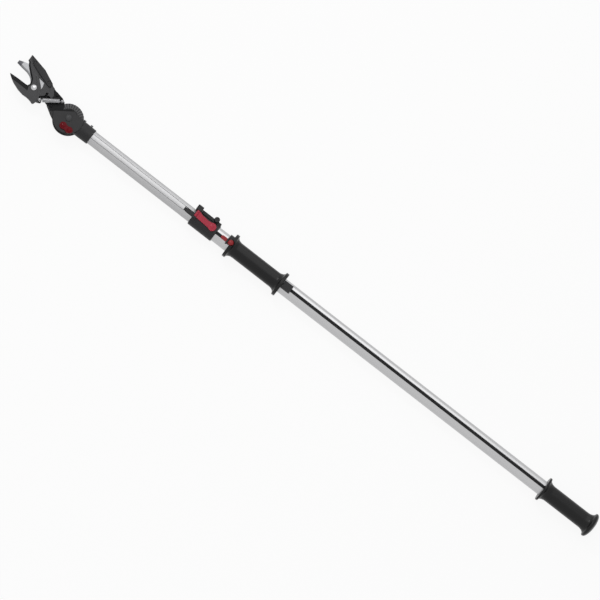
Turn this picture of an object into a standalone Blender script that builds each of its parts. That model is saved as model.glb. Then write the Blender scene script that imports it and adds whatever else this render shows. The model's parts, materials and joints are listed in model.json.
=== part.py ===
"""Hand-worked telescopic pole pruner: a bypass cutting head on a two-tube telescopic pole.

Pole coordinates: X along the pole from the cutting head to the end grip, zero where the inner tube
leaves the head socket; Z up through the strap groove; Y to the side that the guard is on. The whole
tool is shifted at the end, so that it lies on the flats of its grip flanges with the origin under
its middle. All sizes are in metres and all angles in degrees.
"""
import math

import bmesh
import bpy
from mathutils import Vector

# Clearances
SEAT_GAP = 0.0003
SLIDE_GAP = 0.0003
BOLT_GAP = 0.0003
SWEEP_GAP = 0.0008

# Tubes, groove and strap
INNER_TUBE_R = 0.0170
TUBE_WALL = 0.0012
OUTER_TUBE_R = INNER_TUBE_R + SLIDE_GAP + TUBE_WALL
SOCKET_END_X = 0.0015
INNER_TUBE_START_X = -0.0280
INNER_TUBE_END_X = 1.2500
OUTER_TUBE_START_X = 0.3120
OUTER_TUBE_END_X = 1.4880
STRAP_WIDTH = 0.0070
STRAP_THICKNESS = 0.0015
STRAP_START_X = INNER_TUBE_START_X + 0.0005
STRAP_END_X = 1.3600
GROOVE_SIDE_GAP = 0.0005
GROOVE_DEPTH = 0.0049
OUTER_GROOVE_HALF = STRAP_WIDTH / 2 + GROOVE_SIDE_GAP
OUTER_GROOVE_FLOOR = OUTER_TUBE_R - GROOVE_DEPTH
GROOVE_NEST_GAP = 0.0004
INNER_GROOVE_HALF = OUTER_GROOVE_HALF + TUBE_WALL + GROOVE_NEST_GAP
INNER_GROOVE_FLOOR = OUTER_GROOVE_FLOOR - TUBE_WALL - GROOVE_NEST_GAP
STRAP_FLOOR = OUTER_GROOVE_FLOOR + SEAT_GAP
STRAP_TOP = STRAP_FLOOR + STRAP_THICKNESS
OVER_STRAP = STRAP_TOP + SEAT_GAP
TUBE_SEGMENTS = 40

# Grips
GRIP_WALL = 0.0017
GRIP_BORE_R = OUTER_TUBE_R + SLIDE_GAP
GRIP_R = GRIP_BORE_R + GRIP_WALL
FLANGE_R = 0.0312
FLARE_LENGTH = 0.0170
LIP_THICKNESS = 0.0055
PULL_FLARE_LENGTH = 0.0150
PULL_LIP_THICKNESS = 0.0080
PULL_GRIP_START_X = 0.4125
PULL_GRIP_END_X = 0.5675
END_GRIP_START_X = 1.3450
END_GRIP_DOME = 0.0110
END_GRIP_WALL = 0.0025
END_SCREW_R = 0.0022
END_SCREW_HEAD_R = 0.0046
END_SCREW_POCKET = 0.0034
AXIS_HEIGHT = 0.0285
GRIP_SEGMENTS = 28

# Tilt joint
TILT_X = -0.0677
CHEEK_R = 0.0370
CHEEK_TOP = 0.0150
INDEX_R = 0.0365
INDEX_HALF = 0.0080
INDEX_NOTCHES = 32
INDEX_NOTCH_DEPTH = 0.0009
TILT_BOLT_R = 0.0040
PULLEY_R = 0.0125
PULLEY_FLANGE_R = 0.0150
PULLEY_HALF = 0.0039
SOCKET_R = INNER_TUBE_R + 0.0030
SOCKET_FRONT_X = -0.0380
INNER_CHEEK = INDEX_HALF + SEAT_GAP
SWEEP_R = INDEX_R + SWEEP_GAP

# Cutting head, in the plane of the pole
HEAD_LENGTH = 0.1093
NECK_REACH = HEAD_LENGTH - 0.0493
JAW_OFFSET_Y = 0.0080
TILT = Vector((TILT_X, 0.0, 0.0))
JAW = Vector((TILT_X - HEAD_LENGTH, JAW_OFFSET_Y, 0.0))
BLADE_HALF = 0.0020
PLATE_BOTTOM = BLADE_HALF + SEAT_GAP
PLATE_TOP = PLATE_BOTTOM + 0.0045
PLATE_GROUND = 0.0026
JAW_BOLT_R = 0.0040
JAW_BOLT_HEAD_R = 0.0068
REAR_PLATE_THICKNESS = 0.0047
GRIND_WIDTH = 0.0055
HOOK_GRIND_WIDTH = 0.0038

# Geared drive of the blade
MODULE = 0.00125
PINION_TEETH = 8
SECTOR_TEETH_ROUND = 52
PRESSURE_ANGLE = 25.0
ADDENDUM = 0.70 * MODULE
DEDENDUM = 0.95 * MODULE
TOOTH_THINNING = 0.00016
PINION_R = MODULE * PINION_TEETH / 2
SECTOR_R = MODULE * SECTOR_TEETH_ROUND / 2
DRIVE_DIRECTION = 30.0
DRUM = JAW + (PINION_R + SECTOR_R) * Vector(
    (math.cos(math.radians(DRIVE_DIRECTION)), math.sin(math.radians(DRIVE_DIRECTION)), 0.0))
DRUM_R = 0.0100
DRUM_FLANGE_R = DRUM_R + 0.0016
DRUM_POCKET_R = DRUM_FLANGE_R + 0.0005
DRUM_WALL = 0.0020
DRUM_SIDE_WALL = 0.0016
AXLE_R = 0.0025
FIRST_TOOTH = -6
LAST_TOOTH = 1

# Return spring
SPRING_PIN_ARM = 0.0343
SPRING_PIN_DIRECTION = -29.0
SPRING_PIN_R = 0.0020
SPRING_PIN = JAW + SPRING_PIN_ARM * Vector(
    (math.cos(math.radians(SPRING_PIN_DIRECTION)), math.sin(math.radians(SPRING_PIN_DIRECTION)), 0.0))
SPRING_POST = TILT + Vector((-0.0357, 0.0214, 0.0))
SPRING_POST_R = 0.0020
SPRING_WIRE_R = 0.00075
SPRING_COIL_R = 0.00475
SPRING_COILS = 13
SPRING_POINTS_PER_COIL = 9
SPRING_HEIGHT = 0.0160
SPRING_EYE_R = SPRING_PIN_R + SPRING_WIRE_R + SEAT_GAP
BLADE_SWING = 42.0

# Clamp
CLAMP_START_X = 0.3030
CLAMP_END_X = 0.3710
CLAMP_R = OUTER_TUBE_R + 0.0030
CLAMP_TONGUE_LENGTH = 0.0250
CLAMP_BOLT_X = 0.3540
CLAMP_BOLT_R = 0.0025
CLAMP_LUG_R = 0.0065
CLAMP_LUG_HALF = 0.0112
KNOB_R = 0.0068
KNOB_HEIGHT = 0.0085
KNOB_CAP = 0.0018
KNOB_SEAT = CLAMP_LUG_HALF + SEAT_GAP
CLAMP_BOLT = Vector((CLAMP_BOLT_X, math.sqrt(CLAMP_R ** 2 - KNOB_SEAT ** 2) + SEAT_GAP + KNOB_R, 0.0))
LEVER_AXIS_X = 0.3080
LEVER_AXIS_Z = CLAMP_R + 0.0040
LEVER_BARREL_R = 0.0036
LEVER_PIN_R = 0.0015
LEVER_BARREL_Y = (-0.0024, 0.0138)

# Strap lock
LOCK_AXIS_X = 0.4036
LOCK_AXIS_Z = OUTER_TUBE_R + 0.0022
LOCK_PIN_R = 0.0011
LOCK_NOSE_X = 0.3850
LOCK_BUTTON_X = 0.4127
LOCK_BUTTON_R = 0.0072
LOCK_PLATE_Z = (OUTER_TUBE_R + 0.0005, OUTER_TUBE_R + 0.0038)

# The tool's box, from which the origin is worked out
HEAD_REACH = 0.0676
GUARD_TIP = Vector((-0.0512, 0.0599, 0.0))
DOME_X = OUTER_TUBE_END_X + SEAT_GAP + END_GRIP_WALL + END_GRIP_DOME / 2
DOME_HOLE_R = END_SCREW_HEAD_R + 0.0010
END_X = DOME_X - END_GRIP_DOME * (1.0 - math.cos(math.asin(DOME_HOLE_R / FLANGE_R)))
BOX_MIDDLE = Vector((
    (JAW.x - HEAD_REACH + END_X) / 2,
    (JAW.y + GUARD_TIP.y - CHEEK_R) / 2,
    0.0))

# Colour, roughness and metallic value of each finish
FINISHES = {
    "black_plastic": ((0.030, 0.030, 0.033), 0.50, 0.0),
    "black_metal": ((0.060, 0.060, 0.064), 0.42, 0.6),
    "red_plastic": ((0.40, 0.025, 0.045), 0.35, 0.0),
    "aluminium": ((0.62, 0.62, 0.63), 0.28, 1.0),
    "blade_steel": ((0.58, 0.59, 0.60), 0.22, 1.0),
    "zinc_steel": ((0.52, 0.52, 0.53), 0.30, 1.0),
    "strap_black": ((0.012, 0.012, 0.013), 0.70, 0.0),
}

frames = {}


def clear_objects():
    for obj in list(bpy.data.objects):
        bpy.data.objects.remove(obj, do_unlink=True)


def make_collection(name, hidden=False):
    made = bpy.data.collections.new(name)
    made.hide_render = hidden
    bpy.context.scene.collection.children.link(made)
    return made


clear_objects()
PARTS = make_collection("telescopic_pole_pruner")
CUTTERS = make_collection("cutters", hidden=True)


def polar(radius, degrees, centre=(0.0, 0.0)):
    """A point at this radius and angle from the centre."""
    turn = math.radians(degrees)
    return centre[0] + radius * math.cos(turn), centre[1] + radius * math.sin(turn)


def arc(centre, radius, start, end, count):
    """Points along an arc, both ends included; angles in degrees."""
    return [polar(radius, start + (end - start) * i / (count - 1), centre) for i in range(count)]


def around(point, offsets):
    """Points given as offsets from a reference point."""
    return [(point[0] + dx, point[1] + dy) for dx, dy in offsets]


def add_frame(name, position, parent=None):
    """An empty on a joint's axis, which carries the pieces of one moving body."""
    empty = bpy.data.objects.new(name, None)
    empty.empty_display_size = 0.02
    PARTS.objects.link(empty)
    if parent is None:
        empty.location = Vector(position) + Vector((-BOX_MIDDLE.x, -BOX_MIDDLE.y, AXIS_HEIGHT))
    else:
        empty.parent = frames[parent][0]
        empty.location = Vector(position) - frames[parent][1]
    frames[name] = (empty, Vector(position))


def put(obj, frame, position=(0.0, 0.0, 0.0), turn=(0.0, 0.0, 0.0)):
    """Places a piece by pole coordinates under the empty of its body."""
    empty, origin = frames[frame]
    obj.parent = empty
    obj.location = Vector(position) - origin
    obj.rotation_euler = [math.radians(angle) for angle in turn]
    return obj


def finish(obj, name):
    """Gives a piece its own material in one of the finishes."""
    colour, roughness, metallic = FINISHES[name]
    material = bpy.data.materials.new(obj.name + "_finish")
    material.use_nodes = True
    shader = material.node_tree.nodes["Principled BSDF"]
    shader.inputs["Base Color"].default_value = (*colour, 1.0)
    shader.inputs["Roughness"].default_value = roughness
    shader.inputs["Metallic"].default_value = metallic
    obj.data.materials.clear()
    obj.data.materials.append(material)
    return obj


def link_mesh(name, mesh):
    obj = bpy.data.objects.new(name, mesh)
    PARTS.objects.link(obj)
    return obj


def as_cutter(obj):
    """Moves an object to the cutters, which are tools and not pieces."""
    PARTS.objects.unlink(obj)
    CUTTERS.objects.link(obj)
    obj.hide_render = True
    obj.display_type = "WIRE"
    return obj


def add_boolean(obj, tool, operation):
    as_cutter(tool)
    modifier = obj.modifiers.new(tool.name, "BOOLEAN")
    modifier.operation = operation
    modifier.object = tool
    modifier.solver = "EXACT"
    return obj


def cut(obj, *tools):
    for tool in tools:
        add_boolean(obj, tool, "DIFFERENCE")
    return obj


def join(obj, *tools):
    for tool in tools:
        add_boolean(obj, tool, "UNION")
    return obj


def bevel(obj, width, segments=1, angle=40.0):
    modifier = obj.modifiers.new("edges", "BEVEL")
    modifier.width = width
    modifier.segments = segments
    modifier.limit_method = "ANGLE"
    modifier.angle_limit = math.radians(angle)
    return obj


def mesh_from_curve(curve_object):
    """Turns a curve into a welded mesh object of the same name, and removes the curve."""
    bpy.context.view_layer.update()
    graph = bpy.context.evaluated_depsgraph_get()
    mesh = bpy.data.meshes.new_from_object(curve_object.evaluated_get(graph))
    work = bmesh.new()
    work.from_mesh(mesh)
    bmesh.ops.remove_doubles(work, verts=work.verts, dist=0.000002)
    bmesh.ops.recalc_face_normals(work, faces=work.faces)
    work.to_mesh(mesh)
    work.free()
    name = curve_object.name
    bpy.data.objects.remove(curve_object, do_unlink=True)
    return link_mesh(name, mesh)


def plate(name, outlines, thickness):
    """A flat piece, the first outline around any others, centred on its own plane."""
    curve = bpy.data.curves.new(name, "CURVE")
    curve.dimensions = "2D"
    curve.fill_mode = "BOTH"
    curve.extrude = thickness / 2
    for outline in outlines:
        spline = curve.splines.new("POLY")
        spline.points.add(len(outline) - 1)
        for point, (x, y) in zip(spline.points, outline):
            point.co = (x, y, 0.0, 1.0)
        spline.use_cyclic_u = True
    obj = bpy.data.objects.new(name, curve)
    PARTS.objects.link(obj)
    return mesh_from_curve(obj)


def level_plate(name, outlines, frame, bottom, top):
    """A plate in the plane of the head, between two heights."""
    obj = plate(name, outlines, top - bottom)
    return put(obj, frame, (0.0, 0.0, (bottom + top) / 2))


def pole_prism(name, outlines, frame, start_x, end_x):
    """A prism along the pole whose outlines are given across it, as (y, z)."""
    obj = plate(name, outlines, end_x - start_x)
    return put(obj, frame, ((start_x + end_x) / 2, 0.0, 0.0), (90.0, 0.0, 90.0))


def stack(name, sections):
    """A solid through outlines of equal point counts, each at its own height."""
    work = bmesh.new()
    rings = [[work.verts.new((x, y, z)) for x, y in outline] for z, outline in sections]
    for low, high in zip(rings, rings[1:]):
        for i in range(len(low)):
            j = (i + 1) % len(low)
            work.faces.new((low[i], low[j], high[j], high[i]))
    work.faces.new(rings[0])
    work.faces.new(rings[-1])
    bmesh.ops.recalc_face_normals(work, faces=work.faces)
    mesh = bpy.data.meshes.new(name)
    work.to_mesh(mesh)
    work.free()
    return link_mesh(name, mesh)


def turned(name, profile, segments, closed=False):
    """A turned piece about its own Z: (radius, height) from top to bottom down the outer side."""
    mesh = bpy.data.meshes.new(name)
    edges = [(i, i + 1) for i in range(len(profile) - 1)]
    if closed:
        edges.append((len(profile) - 1, 0))
    mesh.from_pydata([(radius, 0.0, height) for radius, height in profile], edges, [])
    obj = link_mesh(name, mesh)
    screw = obj.modifiers.new("turn", "SCREW")
    screw.axis = "Z"
    screw.steps = segments
    screw.render_steps = segments
    screw.use_merge_vertices = True
    screw.merge_threshold = 0.00001
    return obj


def pole_turned(name, profile, frame, segments, closed=False):
    """A turned piece about the pole's axis: (radius, x) from the end grip towards the head."""
    return put(turned(name, profile, segments, closed), frame, (0.0, 0.0, 0.0), (0.0, 90.0, 0.0))


def cylinder(name, radius, length, segments=24):
    work = bmesh.new()
    bmesh.ops.create_cone(work, cap_ends=True, segments=segments,
                          radius1=radius, radius2=radius, depth=length)
    mesh = bpy.data.meshes.new(name)
    work.to_mesh(mesh)
    work.free()
    return link_mesh(name, mesh)


def post(name, radius, frame, centre, bottom, top, segments=24):
    """A cylinder along Z between two heights."""
    obj = cylinder(name, radius, top - bottom, segments)
    return put(obj, frame, (centre[0], centre[1], (bottom + top) / 2))


def cross_post(name, radius, frame, x, z, y_span, segments=16):
    """A cylinder along Y between two sides."""
    obj = cylinder(name, radius, y_span[1] - y_span[0], segments)
    return put(obj, frame, (x, (y_span[0] + y_span[1]) / 2, z), (90.0, 0.0, 0.0))


def box(name, frame, low, high):
    size = Vector(high) - Vector(low)
    work = bmesh.new()
    bmesh.ops.create_cube(work, size=1.0)
    for vert in work.verts:
        vert.co = Vector((vert.co.x * size.x, vert.co.y * size.y, vert.co.z * size.z))
    mesh = bpy.data.meshes.new(name)
    work.to_mesh(mesh)
    work.free()
    return put(link_mesh(name, mesh), frame, (Vector(low) + Vector(high)) / 2)


def domed_screw(name, shank_r, head_r, head_height, length, segments=20):
    """A screw about its own Z: the head's seat at zero, dome above it, shank below it."""
    crown = [(head_r * math.sin(math.radians(t)), head_height * (0.35 + 0.65 * math.cos(math.radians(t))))
             for t in (0, 40, 90)]
    return turned(name, crown + [(head_r, 0.0), (shank_r, 0.0), (shank_r, -length), (0.0, -length)], segments)


def hex_outline(across_flats, turn=0.0):
    return [polar(across_flats / math.sqrt(3), 60 * i + turn) for i in range(6)]


def grooved_outline(radius, half_width, floor, segments=TUBE_SEGMENTS):
    """A circle, as (y, z), with a flat-bottomed groove along its top."""
    edge = math.degrees(math.asin(half_width / radius))
    rim = arc((0.0, 0.0), radius, 90.0 + edge, 450.0 - edge, segments)
    return rim + [(half_width, floor), (-half_width, floor)]


def circle_outline(radius, segments=TUBE_SEGMENTS):
    return arc((0.0, 0.0), radius, 0.0, 360.0 - 360.0 / segments, segments)


def flare(lip_x, body_x, body_r, lip_r, count=4):
    """A hollow curve from a flange's lip down to the body of a grip, as (radius, x)."""
    points = []
    for i in range(count + 1):
        share = i / count
        drop = math.sqrt(1.0 - (1.0 - share) ** 2)
        points.append((lip_r - (lip_r - body_r) * drop, lip_x + (body_x - lip_x) * share))
    return points


def lip(face_x, inward, hub_r, thickness=LIP_THICKNESS):
    """The rounded rim of a flange from its outer face, as (radius, x); inward is +1 or -1."""
    return [
        (hub_r, face_x),
        (FLANGE_R - 0.0012, face_x),
        (FLANGE_R, face_x + inward * min(0.0016, thickness * 0.35)),
        (FLANGE_R - 0.0003, face_x + inward * thickness * 0.8),
    ]


def involute_half_angle(tooth_half, base_r, radius):
    """Half the angle of a tooth at this radius."""
    pressure = math.acos(min(1.0, base_r / radius))
    return tooth_half - (math.tan(pressure) - pressure)


def tooth_points(teeth, direction):
    """One involute tooth, from its leading root to its trailing root, about the gear's centre."""
    pitch_r = MODULE * teeth / 2
    alpha = math.radians(PRESSURE_ANGLE)
    base_r = pitch_r * math.cos(alpha)
    root_r = pitch_r - DEDENDUM
    tip_r = pitch_r + ADDENDUM
    half = math.pi / (2 * teeth) - TOOTH_THINNING / (4 * pitch_r) + math.tan(alpha) - alpha
    start_r = max(base_r, root_r)
    radii = [start_r, (start_r + pitch_r) / 2, pitch_r, (pitch_r + tip_r) / 2, tip_r]
    flank = [(radius, math.degrees(involute_half_angle(half, base_r, radius))) for radius in radii]
    if root_r < start_r:
        flank.insert(0, (root_r, flank[0][1]))
    leading = [polar(radius, direction - angle) for radius, angle in flank]
    trailing = [polar(radius, direction + angle) for radius, angle in reversed(flank)]
    return leading + trailing


def oriented_inset(points, widths):
    """Moves each point of a counter-clockwise outline inward by its width."""
    moved = []
    for i, (x, y) in enumerate(points):
        before = Vector(points[i - 1])
        after = Vector(points[(i + 1) % len(points)])
        along = (after - before).normalized()
        width = widths[i]
        moved.append((x - along.y * width, y + along.x * width))
    return moved


# Bodies of the tool and their joint axes
add_frame("outer_pole_axis", (0.0, 0.0, 0.0))
add_frame("clamp_lever_axis", (LEVER_AXIS_X, 0.0, LEVER_AXIS_Z), "outer_pole_axis")
add_frame("pull_grip_axis", (PULL_GRIP_START_X, 0.0, 0.0), "outer_pole_axis")
add_frame("strap_lock_axis", (LOCK_AXIS_X, 0.0, LOCK_AXIS_Z), "pull_grip_axis")
add_frame("inner_pole_axis", (0.0, 0.0, 0.0), "outer_pole_axis")
add_frame("strap_axis", (0.0, 0.0, STRAP_FLOOR), "inner_pole_axis")
add_frame("tilt_pulley_axis", TILT, "inner_pole_axis")
add_frame("head_tilt_axis", TILT, "inner_pole_axis")
add_frame("tilt_lock_axis", TILT, "head_tilt_axis")
add_frame("blade_axis", JAW, "head_tilt_axis")
add_frame("drum_axis", DRUM, "head_tilt_axis")


def make_tubes():
    outer = pole_prism(
        "outer_tube",
        [grooved_outline(OUTER_TUBE_R, OUTER_GROOVE_HALF, OUTER_GROOVE_FLOOR),
         grooved_outline(OUTER_TUBE_R - TUBE_WALL, OUTER_GROOVE_HALF + TUBE_WALL,
                         OUTER_GROOVE_FLOOR - TUBE_WALL)],
        "outer_pole_axis", OUTER_TUBE_START_X, OUTER_TUBE_END_X)
    finish(outer, "aluminium")
    inner = pole_prism(
        "inner_tube",
        [grooved_outline(INNER_TUBE_R, INNER_GROOVE_HALF, INNER_GROOVE_FLOOR),
         grooved_outline(INNER_TUBE_R - TUBE_WALL, INNER_GROOVE_HALF + TUBE_WALL,
                         INNER_GROOVE_FLOOR - TUBE_WALL)],
        "inner_pole_axis", INNER_TUBE_START_X, INNER_TUBE_END_X)
    hole = cross_post("inner_tube_screw_hole", SOCKET_SCREW_R + BOLT_GAP, "inner_pole_axis",
                      SOCKET_SCREW_XS[1], 0.0, (0.010, 0.025))
    finish(cut(inner, hole), "aluminium")


def make_groove_cover():
    """The strip that closes the inner tube's groove as far as it never enters the outer tube."""
    half = INNER_GROOVE_HALF - SEAT_GAP
    edge = math.degrees(math.asin(half / INNER_TUBE_R))
    top = arc((0.0, 0.0), INNER_TUBE_R, 90.0 - edge, 90.0 + edge, 7)
    outline = top + [(-half, OVER_STRAP), (half, OVER_STRAP)]
    end_x = CLAMP_START_X - CLAMP_TONGUE_LENGTH - 5 * SEAT_GAP
    cover = pole_prism("groove_cover", [outline], "inner_pole_axis", SOCKET_END_X + SEAT_GAP, end_x)
    finish(cover, "aluminium")


def make_strap():
    half = STRAP_WIDTH / 2
    outline = [(-half, STRAP_FLOOR), (half, STRAP_FLOOR), (half, STRAP_TOP), (-half, STRAP_TOP)]
    finish(pole_prism("strap", [outline], "strap_axis", STRAP_START_X, STRAP_END_X), "strap_black")


def make_plugs():
    """The slide plug of the inner tube, and the plug and screw that hold the end grip."""
    wall = TUBE_WALL + SEAT_GAP
    body = pole_prism(
        "slide_plug",
        [grooved_outline(INNER_TUBE_R - wall, INNER_GROOVE_HALF + wall, INNER_GROOVE_FLOOR - wall, 32)],
        "inner_pole_axis", INNER_TUBE_END_X - 0.0180, INNER_TUBE_END_X + 0.0010)
    rim = pole_prism(
        "slide_plug_rim",
        [grooved_outline(INNER_TUBE_R, INNER_GROOVE_HALF, INNER_GROOVE_FLOOR, 32)],
        "inner_pole_axis", INNER_TUBE_END_X + SEAT_GAP, INNER_TUBE_END_X + 0.0035)
    finish(join(body, rim), "black_plastic")
    plug = pole_prism(
        "end_plug",
        [grooved_outline(OUTER_TUBE_R - wall, OUTER_GROOVE_HALF + wall, OUTER_GROOVE_FLOOR - wall, 32)],
        "outer_pole_axis", OUTER_TUBE_END_X - 0.0200, OUTER_TUBE_END_X - SEAT_GAP)
    bore = cylinder("end_plug_bore", END_SCREW_R + BOLT_GAP, 0.05, 16)
    put(bore, "outer_pole_axis", (OUTER_TUBE_END_X, 0.0, 0.0), (0.0, 90.0, 0.0))
    finish(cut(plug, bore), "black_plastic")
    screw = domed_screw("end_screw", END_SCREW_R, END_SCREW_HEAD_R, 0.0022, 0.0170, 16)
    put(screw, "outer_pole_axis", (DOME_X - END_SCREW_POCKET + SEAT_GAP, 0.0, 0.0), (0.0, 90.0, 0.0))
    finish(screw, "zinc_steel")


SOCKET_SCREW_R = 0.0020
SOCKET_SCREW_XS = (-0.0340, -0.0139)
SOCKET_RIB_Y = SOCKET_R + 0.0015


def floor_cutter(name, frame, start_x, end_x):
    return box(name, frame, (start_x, -0.05, -0.06), (end_x, 0.05, -AXIS_HEIGHT))


def make_end_grip():
    lip_x = DOME_X - END_GRIP_DOME
    first = math.degrees(math.asin(DOME_HOLE_R / FLANGE_R))
    dome = [(FLANGE_R * math.sin(math.radians(t)), lip_x + END_GRIP_DOME * math.cos(math.radians(t)))
            for t in (first, 34, 58, 80)]
    rear = [(FLANGE_R, lip_x - 0.0012), (FLANGE_R - 0.0008, lip_x - 0.0028)]
    rear_flare = flare(lip_x - 0.0035, lip_x - 0.0035 - FLARE_LENGTH, GRIP_R, FLANGE_R - 0.0016)
    front_flare = flare(END_GRIP_START_X + LIP_THICKNESS, END_GRIP_START_X + LIP_THICKNESS + FLARE_LENGTH,
                        GRIP_R, FLANGE_R - 0.0016)
    front_lip = lip(END_GRIP_START_X, 1, GRIP_BORE_R + 0.0040)
    bore_end = OUTER_TUBE_END_X + SEAT_GAP
    hole_r = END_SCREW_R + BOLT_GAP
    seat_x = DOME_X - END_SCREW_POCKET
    profile = [(hole_r, seat_x), (DOME_HOLE_R, seat_x)] + dome + rear + rear_flare + front_flare[::-1] + front_lip[::-1]
    profile += [(GRIP_BORE_R, END_GRIP_START_X + 0.0012), (GRIP_BORE_R, bore_end), (hole_r, bore_end)]
    grip = pole_turned("end_grip", profile, "outer_pole_axis", GRIP_SEGMENTS, closed=True)
    cut(grip, floor_cutter("end_grip_flat", "outer_pole_axis", END_GRIP_START_X - 0.01, END_X + 0.01))
    finish(grip, "black_plastic")


def make_pull_grip():
    hub_r = GRIP_BORE_R + 0.0027
    rear = lip(PULL_GRIP_END_X, -1, hub_r, PULL_LIP_THICKNESS)
    front = lip(PULL_GRIP_START_X, 1, hub_r, PULL_LIP_THICKNESS)
    front_x = PULL_GRIP_START_X + PULL_LIP_THICKNESS
    rear_x = PULL_GRIP_END_X - PULL_LIP_THICKNESS
    rear_flare = flare(rear_x, rear_x - PULL_FLARE_LENGTH, GRIP_R, FLANGE_R - 0.0016)
    front_flare = flare(front_x, front_x + PULL_FLARE_LENGTH, GRIP_R, FLANGE_R - 0.0016)
    profile = rear + rear_flare + front_flare[::-1] + front[::-1]
    profile += [(GRIP_BORE_R, PULL_GRIP_START_X), (GRIP_BORE_R, PULL_GRIP_END_X)]
    grip = pole_turned("pull_grip", profile, "pull_grip_axis", GRIP_SEGMENTS, closed=True)
    notch = post("pull_grip_button_notch", LOCK_BUTTON_R + 0.0010, "pull_grip_axis",
                 (LOCK_BUTTON_X, 0.0), hub_r + SEAT_GAP, FLANGE_R + 0.004, 20)
    flat = floor_cutter("pull_grip_flat", "pull_grip_axis", PULL_GRIP_START_X - 0.01, PULL_GRIP_END_X + 0.01)
    finish(cut(grip, notch, flat), "black_plastic")


def make_grip_collar():
    """The open ring in front of the pull grip, with the bridge that the strap lock rocks under."""
    start_x = LOCK_AXIS_X - 0.0019
    end_x = PULL_GRIP_START_X - SEAT_GAP
    outer_r = GRIP_BORE_R + 0.0030
    ring = pole_turned(
        "grip_collar",
        [(outer_r, end_x), (outer_r, start_x), (GRIP_BORE_R, start_x), (GRIP_BORE_R, end_x)],
        "pull_grip_axis", 32, closed=True)
    bridge = box("grip_collar_bridge", "pull_grip_axis",
                 (start_x - 0.0004, -0.0085, OUTER_TUBE_R - 0.0055), (start_x + 0.0037, 0.0085, OUTER_TUBE_R + 0.0083))
    bevel(bridge, 0.0012, 2)
    bore = cylinder("grip_collar_bore", GRIP_BORE_R, 0.05, 32)
    put(bore, "pull_grip_axis", (start_x, 0.0, 0.0), (0.0, 90.0, 0.0))
    under = box("grip_collar_under_bridge", "pull_grip_axis",
                (start_x - 0.01, -0.0050, OUTER_TUBE_R - 0.0025),
                (start_x + 0.0040, 0.0050, OUTER_TUBE_R + 0.0060))
    behind = box("grip_collar_behind_bridge", "pull_grip_axis",
                 (start_x + 0.0038, -0.0050, OUTER_TUBE_R - 0.0025), (end_x + 0.01, 0.0050, 0.0400))
    pin_hole = cross_post("grip_collar_pin_hole", LOCK_PIN_R + BOLT_GAP / 2, "pull_grip_axis",
                          LOCK_AXIS_X, LOCK_AXIS_Z, (-0.02, 0.02), 12)
    opening = box("grip_collar_opening", "pull_grip_axis",
                  (start_x - 0.01, -0.05, -0.05), (end_x + 0.01, -0.35 * GRIP_BORE_R, 0.05))
    cut(ring, opening)
    join(ring, bridge)
    finish(cut(ring, bore, under, behind, pin_hole), "black_plastic")
    pin = cross_post("strap_lock_pin", LOCK_PIN_R, "pull_grip_axis",
                     LOCK_AXIS_X, LOCK_AXIS_Z, (-0.0080, 0.0080), 12)
    finish(pin, "zinc_steel")


def make_guide_block():
    """The saddle behind the pull grip: its key runs in the outer tube's groove."""
    start_x = PULL_GRIP_END_X + SEAT_GAP
    end_x = start_x + 0.0245
    half = 0.0100
    key = OUTER_GROOVE_HALF - SEAT_GAP
    seat = GRIP_BORE_R
    left = math.degrees(math.acos(half / seat))
    right = math.degrees(math.acos(key / seat))
    outline = [(half, OUTER_TUBE_R + 0.0060), (-half, OUTER_TUBE_R + 0.0060)]
    outline += arc((0.0, 0.0), seat, 180.0 - left, 180.0 - right, 4)
    outline += [(-key, OVER_STRAP), (key, OVER_STRAP)]
    outline += arc((0.0, 0.0), seat, right, left, 4)
    block = bevel(pole_prism("guide_block", [outline], "pull_grip_axis", start_x, end_x), 0.0008)
    finish(block, "black_plastic")


def make_strap_lock():
    low, high = LOCK_PLATE_Z
    nose = [(LOCK_NOSE_X, -0.0015), (LOCK_NOSE_X + 0.0035, -0.0046), (LOCK_AXIS_X + 0.0059, -0.0046),
            (LOCK_AXIS_X + 0.0059, 0.0046), (LOCK_NOSE_X + 0.0035, 0.0046), (LOCK_NOSE_X, 0.0015)]
    rocker = level_plate("strap_lock", [nose], "strap_lock_axis", low, high)
    tooth = box("strap_lock_tooth", "strap_lock_axis",
                (LOCK_NOSE_X + 0.0020, -0.0033, OVER_STRAP), (LOCK_NOSE_X + 0.0070, 0.0033, low + 0.0005))
    stem = box("strap_lock_stem", "strap_lock_axis",
               (LOCK_AXIS_X + 0.0024, -0.0036, low + 0.0005), (LOCK_AXIS_X + 0.0055, 0.0036, 0.0262))
    crown = [(0.0, 0.0305), (0.0030, 0.0303), (0.0054, 0.0296), (0.0067, 0.0284), (LOCK_BUTTON_R, 0.0268),
             (LOCK_BUTTON_R, 0.0240), (0.0, 0.0240)]
    button = put(turned("strap_lock_button", crown, 24), "strap_lock_axis", (LOCK_BUTTON_X, 0.0, 0.0))
    hole = cross_post("strap_lock_pin_hole", LOCK_PIN_R + BOLT_GAP / 2, "strap_lock_axis",
                      LOCK_AXIS_X, LOCK_AXIS_Z, (-0.02, 0.02), 12)
    join(rocker, tooth, stem, button)
    finish(cut(rocker, hole), "red_plastic")


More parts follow.
